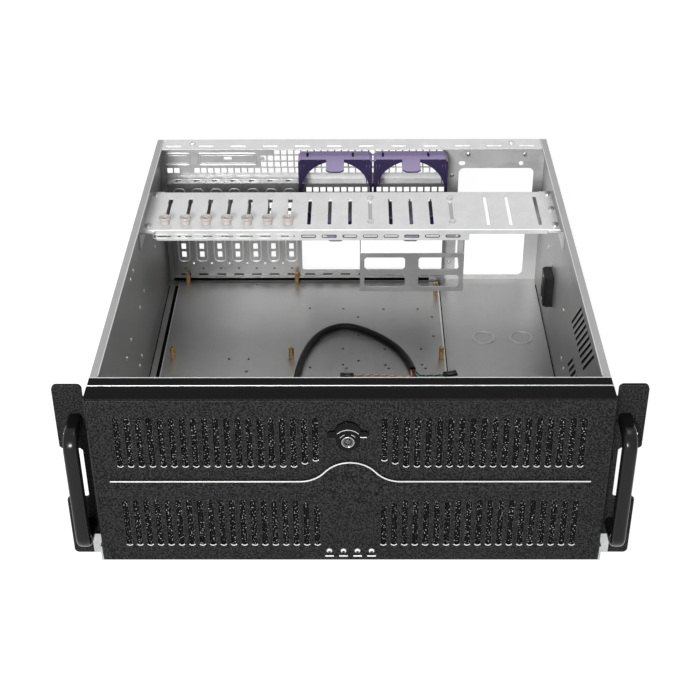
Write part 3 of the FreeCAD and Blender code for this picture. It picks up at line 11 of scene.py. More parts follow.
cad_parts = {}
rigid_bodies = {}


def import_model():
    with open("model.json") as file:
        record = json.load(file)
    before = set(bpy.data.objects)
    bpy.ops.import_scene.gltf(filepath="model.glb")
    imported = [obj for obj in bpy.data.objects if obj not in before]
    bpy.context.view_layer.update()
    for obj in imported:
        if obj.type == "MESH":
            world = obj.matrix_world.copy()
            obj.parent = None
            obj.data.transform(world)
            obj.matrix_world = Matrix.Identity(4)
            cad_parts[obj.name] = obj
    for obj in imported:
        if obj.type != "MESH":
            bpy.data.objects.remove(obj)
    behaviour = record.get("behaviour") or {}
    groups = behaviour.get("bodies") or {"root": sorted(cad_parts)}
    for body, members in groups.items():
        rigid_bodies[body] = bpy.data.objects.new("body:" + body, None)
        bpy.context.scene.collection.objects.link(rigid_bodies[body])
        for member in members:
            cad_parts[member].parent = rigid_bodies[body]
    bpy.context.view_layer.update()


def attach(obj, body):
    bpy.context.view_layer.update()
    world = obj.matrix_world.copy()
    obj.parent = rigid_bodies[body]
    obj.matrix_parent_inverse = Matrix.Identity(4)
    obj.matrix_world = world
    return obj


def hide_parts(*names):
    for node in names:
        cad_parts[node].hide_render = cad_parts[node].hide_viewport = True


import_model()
MM = 0.001


# ---------------------------------------------------------------- shader helpers

class Shader:
    """A new material with its Principled shader and object coordinates at hand."""

    def __init__(self, name, color, rough, metal=0.0, **settings):
        self.mat = bpy.data.materials.new(name)
        self.mat.use_nodes = True
        self.tree = self.mat.node_tree
        self.bsdf = self.tree.nodes["Principled BSDF"]
        self.set("Base Color", color)
        self.set("Roughness", rough)
        self.set("Metallic", metal)
        for key, value in settings.items():
            self.set(key.replace("_", " ").title().replace("Ior", "IOR"), value)
        self.color = color
        self.coords = self.node("TexCoord").outputs["Object"]

    def feed(self, socket, value):
        """Links an output to a socket, or sets the socket's own number, vector or colour."""
        if isinstance(value, bpy.types.NodeSocket):
            self.tree.links.new(value, socket)
        elif socket.type == "RGBA":
            socket.default_value = (*value, 1)
        else:
            socket.default_value = value

    def set(self, key, value):
        """Feeds an input of the Principled shader."""
        self.feed(self.bsdf.inputs[key], value)

    def node(self, kind, **inputs):
        item = self.tree.nodes.new("ShaderNode" + kind)
        for key, value in inputs.items():
            self.feed(item.inputs[key.replace("_", " ")], value)
        return item

    def noise(self, scale, detail=2.0, rough=0.5, coords=None):
        return self.node("TexNoise", Scale=scale, Detail=detail, Roughness=rough,
                         Vector=coords or self.coords).outputs["Fac"]

    def cells(self, scale):
        return self.node("TexVoronoi", Scale=scale, Vector=self.coords).outputs["Color"]

    def remap(self, value, low, high, to_low, to_high):
        return self.node("MapRange", Value=value, From_Min=low, From_Max=high, To_Min=to_low,
                         To_Max=to_high).outputs["Result"]

    def math(self, kind, a, b=0.0):
        item = self.node("Math")
        item.operation = kind
        for socket, value in zip(item.inputs, (a, b)):
            self.feed(socket, value)
        return item.outputs[0]

    def mix(self, factor, a, b):
        item = self.node("Mix")
        item.data_type = "RGBA"
        for number, value in ((0, factor), (6, a), (7, b)):
            self.feed(item.inputs[number], value)
        return item.outputs[2]

    def paint(self, color):
        self.set("Base Color", color)

    def tone(self, factor):
        """Varies the base colour by a factor around 1."""
        item = self.node("VectorMath")
        item.operation = "SCALE"
        item.inputs[0].default_value = self.color
        self.feed(item.inputs["Scale"], factor)
        self.paint(item.outputs[0])

    def facing_up(self, low, high, to_low, to_high):
        """A number that changes where a face turns upward."""
        split = self.node("SeparateXYZ", Vector=self.node("NewGeometry").outputs["Normal"])
        return self.remap(split.outputs["Z"], low, high, to_low, to_high)

    def roughen(self, value):
        self.set("Roughness", value)

    def edges(self, radius, low=0.02, high=0.22):
        """0 on flat faces, 1 on the rounded edges within a radius."""
        bevel = self.node("Bevel", Radius=radius)
        bevel.samples = 4
        dot = self.node("VectorMath")
        dot.operation = "DOT_PRODUCT"
        self.feed(dot.inputs[0], bevel.outputs[0])
        self.feed(dot.inputs[1], self.node("NewGeometry").outputs["Normal"])
        return self.remap(self.math("SUBTRACT", 1.0, dot.outputs["Value"]), low, high, 0, 1)

    def bump(self, height, strength, distance, edge=0.0):
        item = self.node("Bump", Strength=strength, Distance=distance, Height=height)
        if edge:
            bevel = self.node("Bevel", Radius=edge)
            bevel.samples = 3
            self.feed(item.inputs["Normal"], bevel.outputs[0])
        self.set("Normal", item.outputs[0])


def stretched(shader, x, y, z):
    """Object coordinates stretched along the axes."""
    return shader.node("Mapping", Scale=(x, y, z), Vector=shader.coords).outputs[0]


# ---------------------------------------------------------------- materials

def galvanised(name, color, rough=0.42, metal=0.72):
    """Zinc-coated sheet: faint spangle, rolling streaks and handling marks."""
    shader = Shader(name, color, rough, metal=metal)
    spangle = shader.cells(85)
    grain = shader.noise(900, 3)
    cloud = shader.noise(9, 4, 0.6)
    streak = shader.noise(60, 3, 0.6, stretched(shader, 1, 0.06, 1))
    total = shader.math("ADD", shader.remap(spangle, 0, 1, 0.955, 1.035),
                        shader.remap(cloud, 0.3, 0.7, -0.035, 0.035))
    total = shader.math("ADD", total, shader.remap(streak, 0.3, 0.7, -0.025, 0.025))
    shader.tone(total)
    wear = shader.math("ADD", shader.remap(cloud, 0.3, 0.7, rough - 0.06, rough + 0.06),
                       shader.remap(spangle, 0, 1, -0.03, 0.03))
    shader.roughen(wear)
    shader.bump(grain, 0.10, 0.0002, edge=0.0005)
    return shader.mat


def powder_coat(name):
    """Textured black powder coat: fine even pebbles that catch the light, and painted shade on faces that
    turn upward.
    """
    shader = Shader(name, (0.020, 0.020, 0.021), 0.50, specular_ior_level=0.10)
    pebble = shader.noise(690, 1.5, 0.5)
    worn = shader.edges(0.0008)
    grey = shader.mix(shader.remap(pebble, 0.38, 0.68, 0, 1), (0.006, 0.006, 0.0065), (0.036, 0.036, 0.037))
    # Painted shade: faces that turn upward are mixed towards near-black.
    shader.paint(shader.mix(shader.facing_up(0.5, 0.9, 0, 0.95), grey, (0.003, 0.003, 0.003)))
    shader.set("Specular IOR Level", shader.remap(worn, 0, 1, 0.04, 0.75))
    shader.roughen(shader.remap(worn, 0, 1, 0.50, 0.30))
    shader.bump(pebble, 0.30, 0.0003, edge=0.0008)
    return shader.mat


def gloss(name, color, rough=0.2, peel=0.12, shine=0.2):
    """Glossy moulded or lacquered surface with slight orange peel."""
    shader = Shader(name, color, rough, specular_ior_level=shine)
    shader.tone(shader.remap(shader.noise(20, 3), 0.3, 0.7, 0.92, 1.08))
    shader.roughen(shader.remap(shader.noise(55, 3), 0.3, 0.7, rough - 0.04, rough + 0.06))
    shader.bump(shader.noise(320, 2), peel, 0.0004, edge=0.0006)
    return shader.mat


def plated(name, color, rough=0.28):
    """Plated or bare machined metal with fine scratches."""
    shader = Shader(name, color, rough, metal=1.0)
    shader.tone(shader.remap(shader.noise(130, 3), 0.3, 0.7, 0.88, 1.08))
    shader.roughen(shader.remap(shader.noise(420, 3), 0.3, 0.7, rough - 0.07, rough + 0.09))
    shader.bump(shader.noise(1600, 2), 0.12, 0.0001, edge=0.0003)
    return shader.mat


def plastic(name, color, rough=0.42, grain=900.0, depth=0.16, **settings):
    """Moulded plastic with a spark-eroded grain."""
    shader = Shader(name, color, rough, **settings)
    shader.tone(shader.remap(shader.noise(26, 3), 0.3, 0.7, 0.94, 1.06))
    shader.roughen(shader.remap(shader.noise(60, 2), 0.3, 0.7, rough - 0.05, rough + 0.05))
    shader.bump(shader.noise(grain, 2), depth, 0.0003, edge=0.0005)
    return shader.mat


def violet(name):
    """Violet moulded plastic with painted light: faces that turn up are mixed towards a pale violet."""
    shader = Shader(name, (0.07, 0.047, 0.145), 0.42, specular_ior_level=0.25)
    grain = shader.noise(26, 3)
    dark = shader.mix(shader.remap(grain, 0.3, 0.7, 0, 1), (0.022, 0.015, 0.050), (0.034, 0.024, 0.074))
    # Painted light from above: upward faces get the pale violet, the other faces keep the dark grain.
    shader.paint(shader.mix(shader.facing_up(0.1, 0.7, 0, 1), dark, (0.42, 0.345, 0.57)))
    shader.roughen(shader.remap(shader.noise(60, 2), 0.3, 0.7, 0.36, 0.48))
    shader.bump(shader.noise(700, 2), 0.14, 0.0003, edge=0.0005)
    return shader.mat


def open_foam(name):
    """Open-cell black filter foam: darker pores between strands, and painted glints on the strands."""
    shader = Shader(name, (0.01, 0.01, 0.01), 0.6, specular_ior_level=0.02)
    pores = shader.noise(820, 1.5, 0.5)
    # Painted glints: pale specks mixed into the dark foam colour.
    painted_glint = shader.remap(shader.noise(820, 0, 0.4), 0.66, 0.76, 0, 1)
    dim = shader.mix(shader.remap(pores, 0.42, 0.62, 0, 1), (0.002, 0.002, 0.002), (0.014, 0.014, 0.015))
    shader.paint(shader.mix(painted_glint, dim, (0.33, 0.33, 0.32)))
    shader.bump(pores, 0.7, 0.0010)
    return shader.mat


def braid(name):
    """Black braided sleeve; the strands run by the piece's UV map."""
    shader = Shader(name, (0.006, 0.006, 0.0065), 0.46, specular_ior_level=0.22)
    place = shader.node("TexCoord").outputs["UV"]
    shader.paint(shader.mix(shader.remap(shader.noise(900, 1), 0.45, 0.62, 0, 1), (0.003, 0.003, 0.0035),
                            (0.014, 0.014, 0.015)))
    checker = shader.node("TexChecker", Scale=1.0, Vector=place)
    shader.bump(checker.outputs["Fac"], 0.35, 0.0003)
    return shader.mat


def circuit_board(name):
    """Solder-masked board with faint tracks."""
    shader = Shader(name, (0.02, 0.13, 0.05), 0.32, coat_weight=0.3, coat_roughness=0.1)
    track = shader.node("TexBrick", Scale=180.0, Vector=shader.coords)
    shader.paint(shader.mix(shader.remap(track.outputs["Fac"], 0, 1, 0, 0.8),
                            (0.015, 0.10, 0.04), (0.04, 0.20, 0.08)))
    shader.bump(track.outputs["Fac"], 0.2, 0.0001)
    return shader.mat


SHEET = galvanised("sheet_metal", (0.70, 0.703, 0.70))
BASE = galvanised("base_metal", (0.39, 0.392, 0.388))
# A darker copy of the sheet metal for the rear plate and slot covers under the cross bar: painted shade of
# the bar's shadow.
BAR_SHADE_SHEET = galvanised("cover_metal", (0.31, 0.312, 0.31))
CAGE = galvanised("cage_metal", (0.44, 0.442, 0.44))
BAR = galvanised("bar_metal", (0.78, 0.783, 0.78), 0.45, 0.35)
COAT = powder_coat("powder_coat")
BOW = gloss("handle_black", (0.006, 0.006, 0.0065), 0.22)
TRIM = gloss("trim_black", (0.004, 0.004, 0.0045), 0.16, shine=0.10)
STEEL = plated("screw_steel", (0.62, 0.62, 0.61))
# Dark steel for the lock's recessed face and keyway and the plugs' windows: painted shade in recesses.
RECESS_SHADE = plated("painted_recess_shade", (0.12, 0.12, 0.12), 0.40)
ZINC = plated("zinc_plate", (0.52, 0.53, 0.53), 0.36)
CHROME = plated("key_chrome", (0.40, 0.40, 0.41), 0.20)
BRASS = plated("brass_post", (0.88, 0.55, 0.25), 0.22)
FOAM = open_foam("filter_foam")
# Light grey lens colour: painted reflection, bright on top.
LENS = plastic("lens_clear", (0.62, 0.62, 0.61), 0.10, 300.0, 0.03)
BLACK = plastic("moulded_black", (0.010, 0.010, 0.011), 0.50, specular_ior_level=0.25)
# Near-black for strips and cups laid where seams, louvres and holes fall into shade: painted shade.
SHADE_BLACK = plastic("painted_shade_black", (0.002, 0.002, 0.002), 0.70, specular_ior_level=0.03)
PURPLE = violet("violet_plastic")
NYLON = plastic("natural_nylon", (0.50, 0.47, 0.455), 0.34, 500.0, 0.10, subsurface_weight=0.06,
                subsurface_scale=0.0012)
BOARD = circuit_board("board_green")
BRAID = braid("braided_sleeve")
# Light grey for painted highlights along edges.
HIGHLIGHT_GREY = plastic("painted_highlight_grey", (0.62, 0.62, 0.61), 0.30, 1200.0, 0.05)
INK = plastic("label_ink", (0.85, 0.85, 0.85), 0.55, 1200.0, 0.05)
WIRES = {key: plastic("wire_" + key, color, 0.34, 1400.0, 0.08) for key, color in (
    ("orange", (0.92, 0.24, 0.03)), ("white", (0.84, 0.83, 0.80)), ("green", (0.015, 0.36, 0.19)),
    ("black", (0.012, 0.012, 0.012)), ("red", (0.62, 0.03, 0.02)))}

NODE_LOOKS = {name: look for look, names in (
    (SHEET, "rear_panel front_sheet bar_bracket_left bar_bracket_right"),
    (BASE, "chassis_base motherboard_tray"),
    (BAR_SHADE_SHEET, "rear_plate"),
    (CAGE, "drive_cage"),
    (BAR, "cross_bar"),
    (COAT, "front_frame front_door rack_ear_left rack_ear_right"),
    (BOW, "handle_left handle_right"),
    (STEEL, "handle_screws bar_screws cage_screws flange_screws"),
    (ZINC, "hinge_bracket_left hinge_bracket_right hinge_pin_left hinge_pin_right lock_cam"),
    (FOAM, "air_filter"),
    (TRIM, "lock_escutcheon"),
    (CHROME, "lock_barrel"),
    (LENS, "led_lenses"),
    (BRASS, "standoffs"),
    (BLACK, "wall_switch plug_1 plug_2 plug_3"),
    (BOARD, "led_board"),
    (BRAID, "front_panel_cable"),
    (WIRES["orange"], "lead_1"),
    (WIRES["red"], "lead_2"),
    (WIRES["green"], "lead_3"),
    (PURPLE, "fan_holder_left fan_holder_right"),
) for name in names.split()}
NODE_LOOKS.update({"slot_cover_%d" % n: BAR_SHADE_SHEET for n in range(1, 8)})
NODE_LOOKS.update({"card_retainer_%d" % n: NYLON for n in range(1, 8)})
for item in list(bpy.data.objects):
    look = NODE_LOOKS.get(item.name) or NODE_LOOKS.get(item.name.split(".")[0])
    if item.type == "MESH" and look:
        item.data.materials.clear()
        item.data.materials.append(look)


# ---------------------------------------------------------------- places on the case, in millimetres

UP, FORWARD = (0, 0, 1), (0, -1, 0)
WALL_X = 211            # inner face of the side walls
REAR_Y = 470            # inner face of the upper rear wall
LOWER_REAR_Y = 458.0    # inner face of the lower rear wall
COVER_PITCH = 20.32     # card slots, apart
COVER_TOP = 130.8       # folded top of the slot covers
BAR_TOP = 160           # top of the cross bar
BAR_PITCH = 20.5        # slots of the cross bar, apart
FIRST_RETAINER = -186   # X of the first retainer
TRAY_TOP = 6
BOARD_X, BOARD_Y = -63.6, 450.4     # middle post of the rear row
HANDLE_X = 224.6
HANDLE_LOW, HANDLE_HIGH = 33.4, 143.6
LOCK_X, LOCK_Z = -1.6, 137.3
BAND_END = 198          # half the length of the raised band
SLOT_END, SLOT_PITCH = 188.2, 8.9   # outermost door slot, and slots apart
LENS_PITCH = 12


# ---------------------------------------------------------------- mesh helpers

def placed(name, data):
    """A new object in the scene."""
    item = bpy.data.objects.new(name, data)
    bpy.context.scene.collection.objects.link(item)
    return item


def piece(name, bm, look, body, replaces=(), smooth=True):
    """Turns a bmesh, in millimetres, into a piece of the model."""
    mesh = bpy.data.meshes.new(name)
    bmesh.ops.recalc_face_normals(bm, faces=bm.faces)
    bm.to_mesh(mesh)
    bm.free()
    mesh.transform(Matrix.Scale(MM, 4))
    for mat in look if isinstance(look, (list, tuple)) else (look,):
        mesh.materials.append(mat)
    mesh.polygons.foreach_set("use_smooth", [smooth] * len(mesh.polygons))
    item = placed(name, mesh)
    if smooth:
        mesh.set_sharp_from_angle(angle=math.radians(38))
    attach(item, body)
    if replaces:
        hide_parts(*replaces)
    return item


def towards(at, axis):
    """Matrix that puts a shape made along +Z at a point, along an axis."""
    turn = Vector(UP).rotation_difference(Vector(axis))
    return Matrix.Translation(Vector(at)) @ turn.to_matrix().to_4x4()


def lathe(bm, profile, matrix, sides=32, mat=0, squash=None):
    """Turns a profile of (radius, height) points; a radius of 0 closes an end."""
    rings = []
    for radius, height in profile:
        if radius <= 1e-6:
            rings.append([bm.verts.new(matrix @ Vector((0, 0, height)))])
            continue
        ring = []
        for number in range(sides):
            turn = 2 * math.pi * number / sides
            reach = radius * (squash(turn, radius, height) if squash else 1)
            spot = Vector((reach * math.cos(turn), reach * math.sin(turn), height))
            ring.append(bm.verts.new(matrix @ spot))
        rings.append(ring)
    for low, high in zip(rings, rings[1:]):
        for number in range(max(len(low), len(high))):
            after = (number + 1) % sides
            corners = [low[number % len(low)], low[after % len(low)], high[after % len(high)],
                       high[number % len(high)]]
            corners = list(dict.fromkeys(corners))
            if len(corners) > 2:
                bm.faces.new(corners).material_index = mat


def soft_box(bm, low, high, edge, mat=0, matrix=None, steps=2):
    """A block with rounded edges."""
    made = bmesh.ops.create_cube(bm, size=1.0)["verts"]
    size = [b - a for a, b in zip(low, high)]
    middle = Vector([(a + b) / 2 for a, b in zip(low, high)])
    for vert in made:
        vert.co = Vector([c * s for c, s in zip(vert.co, size)]) + middle
    edges = list({e for v in made for e in v.link_edges})
    result = bmesh.ops.bevel(bm, geom=edges, offset=min(edge, 0.49 * min(size)), segments=steps, profile=0.5,
                             affect="EDGES")
    faces = set(result["faces"]) | {f for v in result["verts"] for f in v.link_faces}
    verts = {v for f in faces for v in f.verts}
    for face in faces:
        face.material_index = mat
    if matrix:
        for vert in verts:
            vert.co = matrix @ vert.co
    return verts


def pan_head(bm, at, axis, radius, height, reach=0.0, shank=0.0, turn=0.35):
    """Pan-head screw with a cross recess; the shank goes back from the head's seat."""
    sides, steps = 32, 9
    matrix = towards(at, axis)
    arm, slot, deep = 0.60 * radius, 0.15 * radius, 0.62 * height
    rings = []
    for step in range(steps + 1):
        share = 1 - step / steps
        r = radius * math.sin(share * math.pi / 2) ** 0.8
        z = height * (1 - (r / radius) ** 3.2) ** 0.55 * 0.85 + height * 0.15
        ring = []
        for number in range(sides if r > 1e-3 else 1):
            angle = 2 * math.pi * number / sides
            u = abs(r * math.cos(angle - turn))
            v = abs(r * math.sin(angle - turn))
            inside = (u < arm and v < slot) or (v < arm and u < slot)
            sink = deep * (1 - 0.4 * max(u, v) / arm) if inside else 0
            ring.append(bm.verts.new(matrix @ Vector((r * math.cos(angle), r * math.sin(angle), z - sink))))
        rings.append(ring)
    turns = [2 * math.pi * number / sides for number in range(sides)]
    seat = [bm.verts.new(matrix @ Vector((radius * math.cos(a), radius * math.sin(a), 0))) for a in turns]
    rings.insert(0, seat)
    for low, high in zip(rings, rings[1:]):
        for number in range(sides):
            after = (number + 1) % sides
            corners = list(dict.fromkeys([low[number], low[after], high[after % len(high)],
                                          high[number % len(high)]]))
            bm.faces.new(corners)
    bm.faces.new(seat)
    if reach:
        turns = []
        count = int(reach / 0.35)
        for step in range(count + 1):
            turns.append((shank * (1.0 if step % 2 else 0.86), -step * reach / count))
        lathe(bm, [(0, 0.02)] + turns + [(0, -reach)], matrix, 16)


def rivet(bm, at, axis, radius, height, hollow=0.35):
    """Low pressed rivet head with a dimple."""
    lathe(bm, [(radius, 0), (radius, height * 0.35), (radius * 0.88, height * 0.8), (radius * 0.66, height),
               (radius * hollow, height * 0.92), (radius * hollow * 0.7, height * 0.35), (0, height * 0.3)],
          towards(at, axis), 20)


def smooth_path(points, step=2.0):
    """Points along the smooth curve that has the given control points."""
    points = [np.array(point, float) for point in points]
    middles = [points[0]] + [(a + b) / 2 for a, b in zip(points[1:-2], points[2:-1])] + [points[-1]]
    out = [points[0]]
    for start, control, end in zip(middles, points[1:-1], middles[1:]):
        count = max(6, int(np.linalg.norm(end - start) / step))
        for number in range(1, count + 1):
            t = number / count
            out.append((1 - t) ** 2 * start + 2 * t * (1 - t) * control + t * t * end)
    out = np.array(out)
    along = np.concatenate([[0], np.cumsum(np.linalg.norm(np.diff(out, axis=0), axis=1))])
    count = int(round(along[-1] / step))
    even = np.linspace(0, along[-1], count + 1)
    return np.column_stack([np.interp(even, along, out[:, axis]) for axis in range(3)]), along[-1]


def frames_along(path):
    """Sideways and upward directions along a path that stays near level."""
    ahead = np.gradient(path, axis=0)
    ahead /= np.linalg.norm(ahead, axis=1)[:, None]
    side = np.cross(ahead, (0, 0, 1.0))
    side /= np.linalg.norm(side, axis=1)[:, None]
    return side, np.cross(side, ahead)


def sweep(bm, path, section, mat=0, uv=None, frames=None):
    """Sweeps a section along a path; section(distance, number) gives (sideways, upward) points."""
    side, up = frames or frames_along(path)
    along = np.concatenate([[0], np.cumsum(np.linalg.norm(np.diff(path, axis=0), axis=1))])
    rings = []
    for number, point in enumerate(path):
        rings.append([bm.verts.new(Vector(point + side[number] * a + up[number] * b))
                      for a, b in section(along[number], number)])
    count = len(rings[0])
    layer = bm.loops.layers.uv.verify() if uv else None
    for row, (low, high) in enumerate(zip(rings, rings[1:])):
        for column in range(count):
            after = (column + 1) % count
            face = bm.faces.new([low[column], low[after], high[after], high[column]])
            face.material_index = mat
            if uv:
                spots = ((row, column), (row, column + 1), (row + 1, column + 1), (row + 1, column))
                for loop, (r, c) in zip(face.loops, spots):
                    loop[layer].uv = (along[min(r, len(along) - 1)] * uv[0], c * uv[1])
    for ring in (rings[0], rings[-1]):
        bm.faces.new(ring).material_index = mat


def disc(radius, sides):
    turns = [2 * math.pi * number / sides for number in range(sides)]
    return [(radius * math.cos(turn), radius * math.sin(turn)) for turn in turns]


def rounded_loop(left, right, low, high, radius, steps=5):
    """Closed rounded rectangle as a list of 2-D points."""
    out = []
    for x, y, start in ((right - radius, low + radius, -90), (right - radius, high - radius, 0),
                        (left + radius, high - radius, 90), (left + radius, low + radius, 180)):
        for number in range(steps + 1):
            turn = math.radians(start + 90 * number / steps)
            out.append((x + radius * math.cos(turn), y + radius * math.sin(turn)))
    return out


def bead(bm, points, outward, width, height, closed=True):
    """Raised half-round bead along a flat loop of 3-D points."""
    points = [Vector(point) for point in points]
    out = Vector(outward)
    count = len(points)
    rings = []
    for number, point in enumerate(points):
        before = points[(number - 1) % count] if closed or number else points[number]
        after = points[(number + 1) % count] if closed or number < count - 1 else points[number]
        ahead = (after - before).normalized()
        across = ahead.cross(out).normalized()
        ring = []
        for share in (-1, -0.7, -0.25, 0.25, 0.7, 1):
            lift = height * math.sqrt(1 - share ** 2)
            ring.append(bm.verts.new(point + across * (width / 2 * share) + out * lift))
        rings.append(ring)
    pairs = zip(rings, rings[1:] + rings[:1]) if closed else zip(rings, rings[1:])
    for low, high in pairs:
        for number in range(5):
            bm.faces.new([low[number], low[number + 1], high[number + 1], high[number]])


def strip(bm, points, outward, width, height):
    """Open bead."""
    bead(bm, points, outward, width, height, closed=False)


# ---------------------------------------------------------------- fasteners and pressed details

def fasteners():
    bar_x, cage_x = 202.6, (19.0, 101.0)
    bm = bmesh.new()
    for x, y in ((-bar_x, 303.4), (-bar_x, 371.6), (bar_x, 303.4), (bar_x, 371.6)):
        pan_head(bm, (x, y, BAR_TOP), UP, 3.3, 1.9, 4.6, 1.6, turn=0.2 + 0.01 * y)
    piece("bar_end_screws", bm, STEEL, "case")
    bm = bmesh.new()
    for side in (-1, 1):
        pan_head(bm, (side * 173, 461, 177), UP, 3.3, 1.8, 4.5, 1.6, turn=0.6 * side)
    piece("rear_flange_screws", bm, STEEL, "case", ["flange_screws"])
    bm = bmesh.new()
    for side in (-1, 1):
        for z in (HANDLE_LOW, HANDLE_HIGH):
            pan_head(bm, (side * HANDLE_X, 3, z), (0, 1, 0), 4.6, 2.9, 2.8, 2.4, turn=0.3 + z)
    piece("handle_fixing_screws", bm, STEEL, "case", ["handle_screws"])


LEFT_RIVETS = ((243.6, 142.9), (226.6, 142.8), (291.4, 91.9), (260.3, 91.2), (196.8, 93.7), (244, 44),
               (168, 91.6), (227.9, 42.7), (382.5, 92.4))
RIGHT_RIVETS = ((258, 89), (243, 41), (226, 40), (389.4, 86), (350.4, 89), (382.5, 92.4))
REAR_SCREWS = ((127.8, 158.9), (189.7, 158.8), (110.6, 133.5), (111.1, 23.6))


def rear_vents():
    """The upper rear wall with the rest of its vents and a small slot cut through."""
    pitch, cell, low = 7.45, 6.0, 137.2
    cuts = [(-63 - pitch * n, low + pitch * row, cell, cell) for n in range(1, 6) for row in (1, 2)]
    cuts += [(-85.35 + pitch * n, low + pitch * 3, cell, cell) for n in range(25)]
    cuts += [(-174.3 - pitch * n, low, cell, cell) for n in (3, 4)]
    cuts += [(-141.0, 153.4, 8.6, 3.2)]
    bm = bmesh.new()
    for x, z, width, height in cuts:
        soft_box(bm, (x, 468, z), (x + width, 473, z + height), 0, steps=0)
    mesh = bpy.data.meshes.new("vent_cutter")
    bm.to_mesh(mesh)
    bm.free()
    cutter = placed("vent_cutter", mesh)
    source = bpy.data.objects["rear_panel"]
    bm = bmesh.new()
    bm.from_mesh(source.data)
    bmesh.ops.transform(bm, matrix=Matrix.Scale(1 / MM, 4) @ source.matrix_world, verts=bm.verts)
    bmesh.ops.remove_doubles(bm, verts=bm.verts, dist=0.0005)
    mesh = bpy.data.meshes.new("vent_panel")
    bm.to_mesh(mesh)
    bm.free()
    panel = placed("vent_panel", mesh)
    cut = panel.modifiers.new("vents", "BOOLEAN")
    cut.operation, cut.solver, cut.object = "DIFFERENCE", "EXACT", cutter
    bpy.context.view_layer.update()
    done = panel.evaluated_get(bpy.context.evaluated_depsgraph_get())
    bm = bmesh.new()
    bm.from_mesh(done.to_mesh())
    done.to_mesh_clear()
    for item in (cutter, panel):
        bpy.data.objects.remove(item)
    piece("rear_panel_vents", bm, SHEET, "case", ["rear_panel"], smooth=False)


def wall_details():
    bm = bmesh.new()
    for y, z in LEFT_RIVETS:
        rivet(bm, (-WALL_X, y, z), (1, 0, 0), 2.3, 0.8)
    for y, z in RIGHT_RIVETS:
        rivet(bm, (WALL_X, y, z), (-1, 0, 0), 2.3, 0.8)
    for x, z in REAR_SCREWS:
        rivet(bm, (x, REAR_Y, z), FORWARD, 2.4, 0.9)
    piece("wall_rivets", bm, STEEL, "case")
    bm = bmesh.new()
    for left, right, low, high in ((-167, -107, 149, 159), (-204, -180, 149, 159)):
        loop = [(x, REAR_Y, z) for x, z in rounded_loop(left - 2, right + 2, low - 2, high + 2, 2.5)]
        bead(bm, loop, FORWARD, 1.6, 0.7)
    lathe(bm, [(3.0, 0), (2.8, 0.7), (1.8, 0.7), (1.6, 0.1), (0, 0.1)],
          towards((-99, REAR_Y, 154), FORWARD), 24)
    piece("knockout_beads", bm, SHEET, "case")
    # hems along the side walls' top lips, where the sheet is folded back
    bm = bmesh.new()
    for side in (-1, 1):
        strip(bm, [(side * 205.4, 14 + step * 45.5, 176.9) for step in range(11)], UP, 0.9, 0.35)
    piece("lip_hems", bm, SHEET, "case")


def slot_cover_beads():
    for number in range(7):
        x = -190.9 + COVER_PITCH * number
        bm = bmesh.new()
        # Raised rims in the lighter sheet colour on the darker covers: real embossing with a painted
        # highlight.
        loop = [(a, 457.2, z) for a, z in rounded_loop(x - 6.2, x + 6.2, 32.5, 124, 4.5)]
        bead(bm, loop, FORWARD, 1.5, 0.75)
        arc = np.linspace(0, math.pi, 13)
        strip(bm, [(x + 7.6 * math.cos(t), 463.8 + 2.8 * math.sin(t), COVER_TOP) for t in arc],
             UP, 1.1, 0.5)
        # A thin black disc on the cover's top fold: painted shade of a screw hole.
        at = Matrix.Translation(Vector((x - 2.6, 463.4, COVER_TOP)))
        lathe(bm, [(2.0, 0), (2.0, 0.12), (0, 0.12)], at, 16, 1)
        piece("cover_bead_%d" % (number + 1), bm, [SHEET, BLACK], "case")


def bar_details():
    bm = bmesh.new()
    for number in range(7):
        x = FIRST_RETAINER + BAR_PITCH * number - 4
        loop = [(a, 295, z) for a, z in rounded_loop(x - 7, x + 7, 150.6, 155.2, 0.9, 3)]
        bead(bm, loop, FORWARD, 0.7, 0.35)
    strip(bm, [(-206.6 + 413.2 * step / 20, 295.2, 159.9) for step in range(21)], (0, -0.5, 0.85), 1.1, 0.3)
    piece("bar_pressings", bm, BAR, "case")


def retainers():
    for number in range(7):
        bm = bmesh.new()
        x, y = FIRST_RETAINER + BAR_PITCH * number, 308.6
        matrix = Matrix.Translation(Vector((x, y, 0)))
        body = "retainer_%d" % (number + 1)

        def flutes(turn, radius, height):
            if 160.3 < height < 165.2:
                return 1 + 0.06 * abs(math.sin(3 * turn + 0.2)) ** 0.6
            return 1.0

        profile = [(0, 150.3), (3.4, 150.3), (3.9, 150.9), (3.9, 157.6), (3.0, 158.3), (3.0, 160.1),
                   (4.0, 160.15), (4.15, 160.6), (4.2, 163.2), (4.5, 164.6), (5.4, 165.2), (5.8, 165.6),
                   (5.82, 167.1), (5.55, 167.65), (5.1, 167.85), (4.5, 167.7), (4.1, 167.2), (1.8, 166.9),
                   (1.25, 166.5), (1.2, 164.6), (0, 164.4)]
        lathe(bm, profile, matrix, 48, squash=flutes)
        piece("retainer_peg_%d" % (number + 1), bm, NYLON, body, ["card_retainer_%d" % (number + 1)])


# from the middle post of the rear row
SPARE_HOLES = ((-65.8, -154.9), (-45.2, -154.9), (-45.8, -178), (-123.8, -191), (16.5, -52.5), (53.9, -54.1),
               (98.4, -54.8), (136.2, -54.9), (70, -71.6), (151.6, -71.8), (70.5, -108.3), (151.4, -110.5),
               (54, -135.3), (98.2, -136), (137, -136.1), (70.5, -158.4), (54.3, -165.5), (98.7, -166.5),
               (136.9, -166), (20, -171), (58, -172), (102.3, -172.7), (140.3, -172.7), (16.9, -190),
               (-45.7, -0.8))


def line(bm, start, end, outward, width, height, parts=8):
    """Straight open bead."""
    start, end = Vector(start), Vector(end)
    strip(bm, [start.lerp(end, step / parts) for step in range(parts + 1)], outward, width, height)


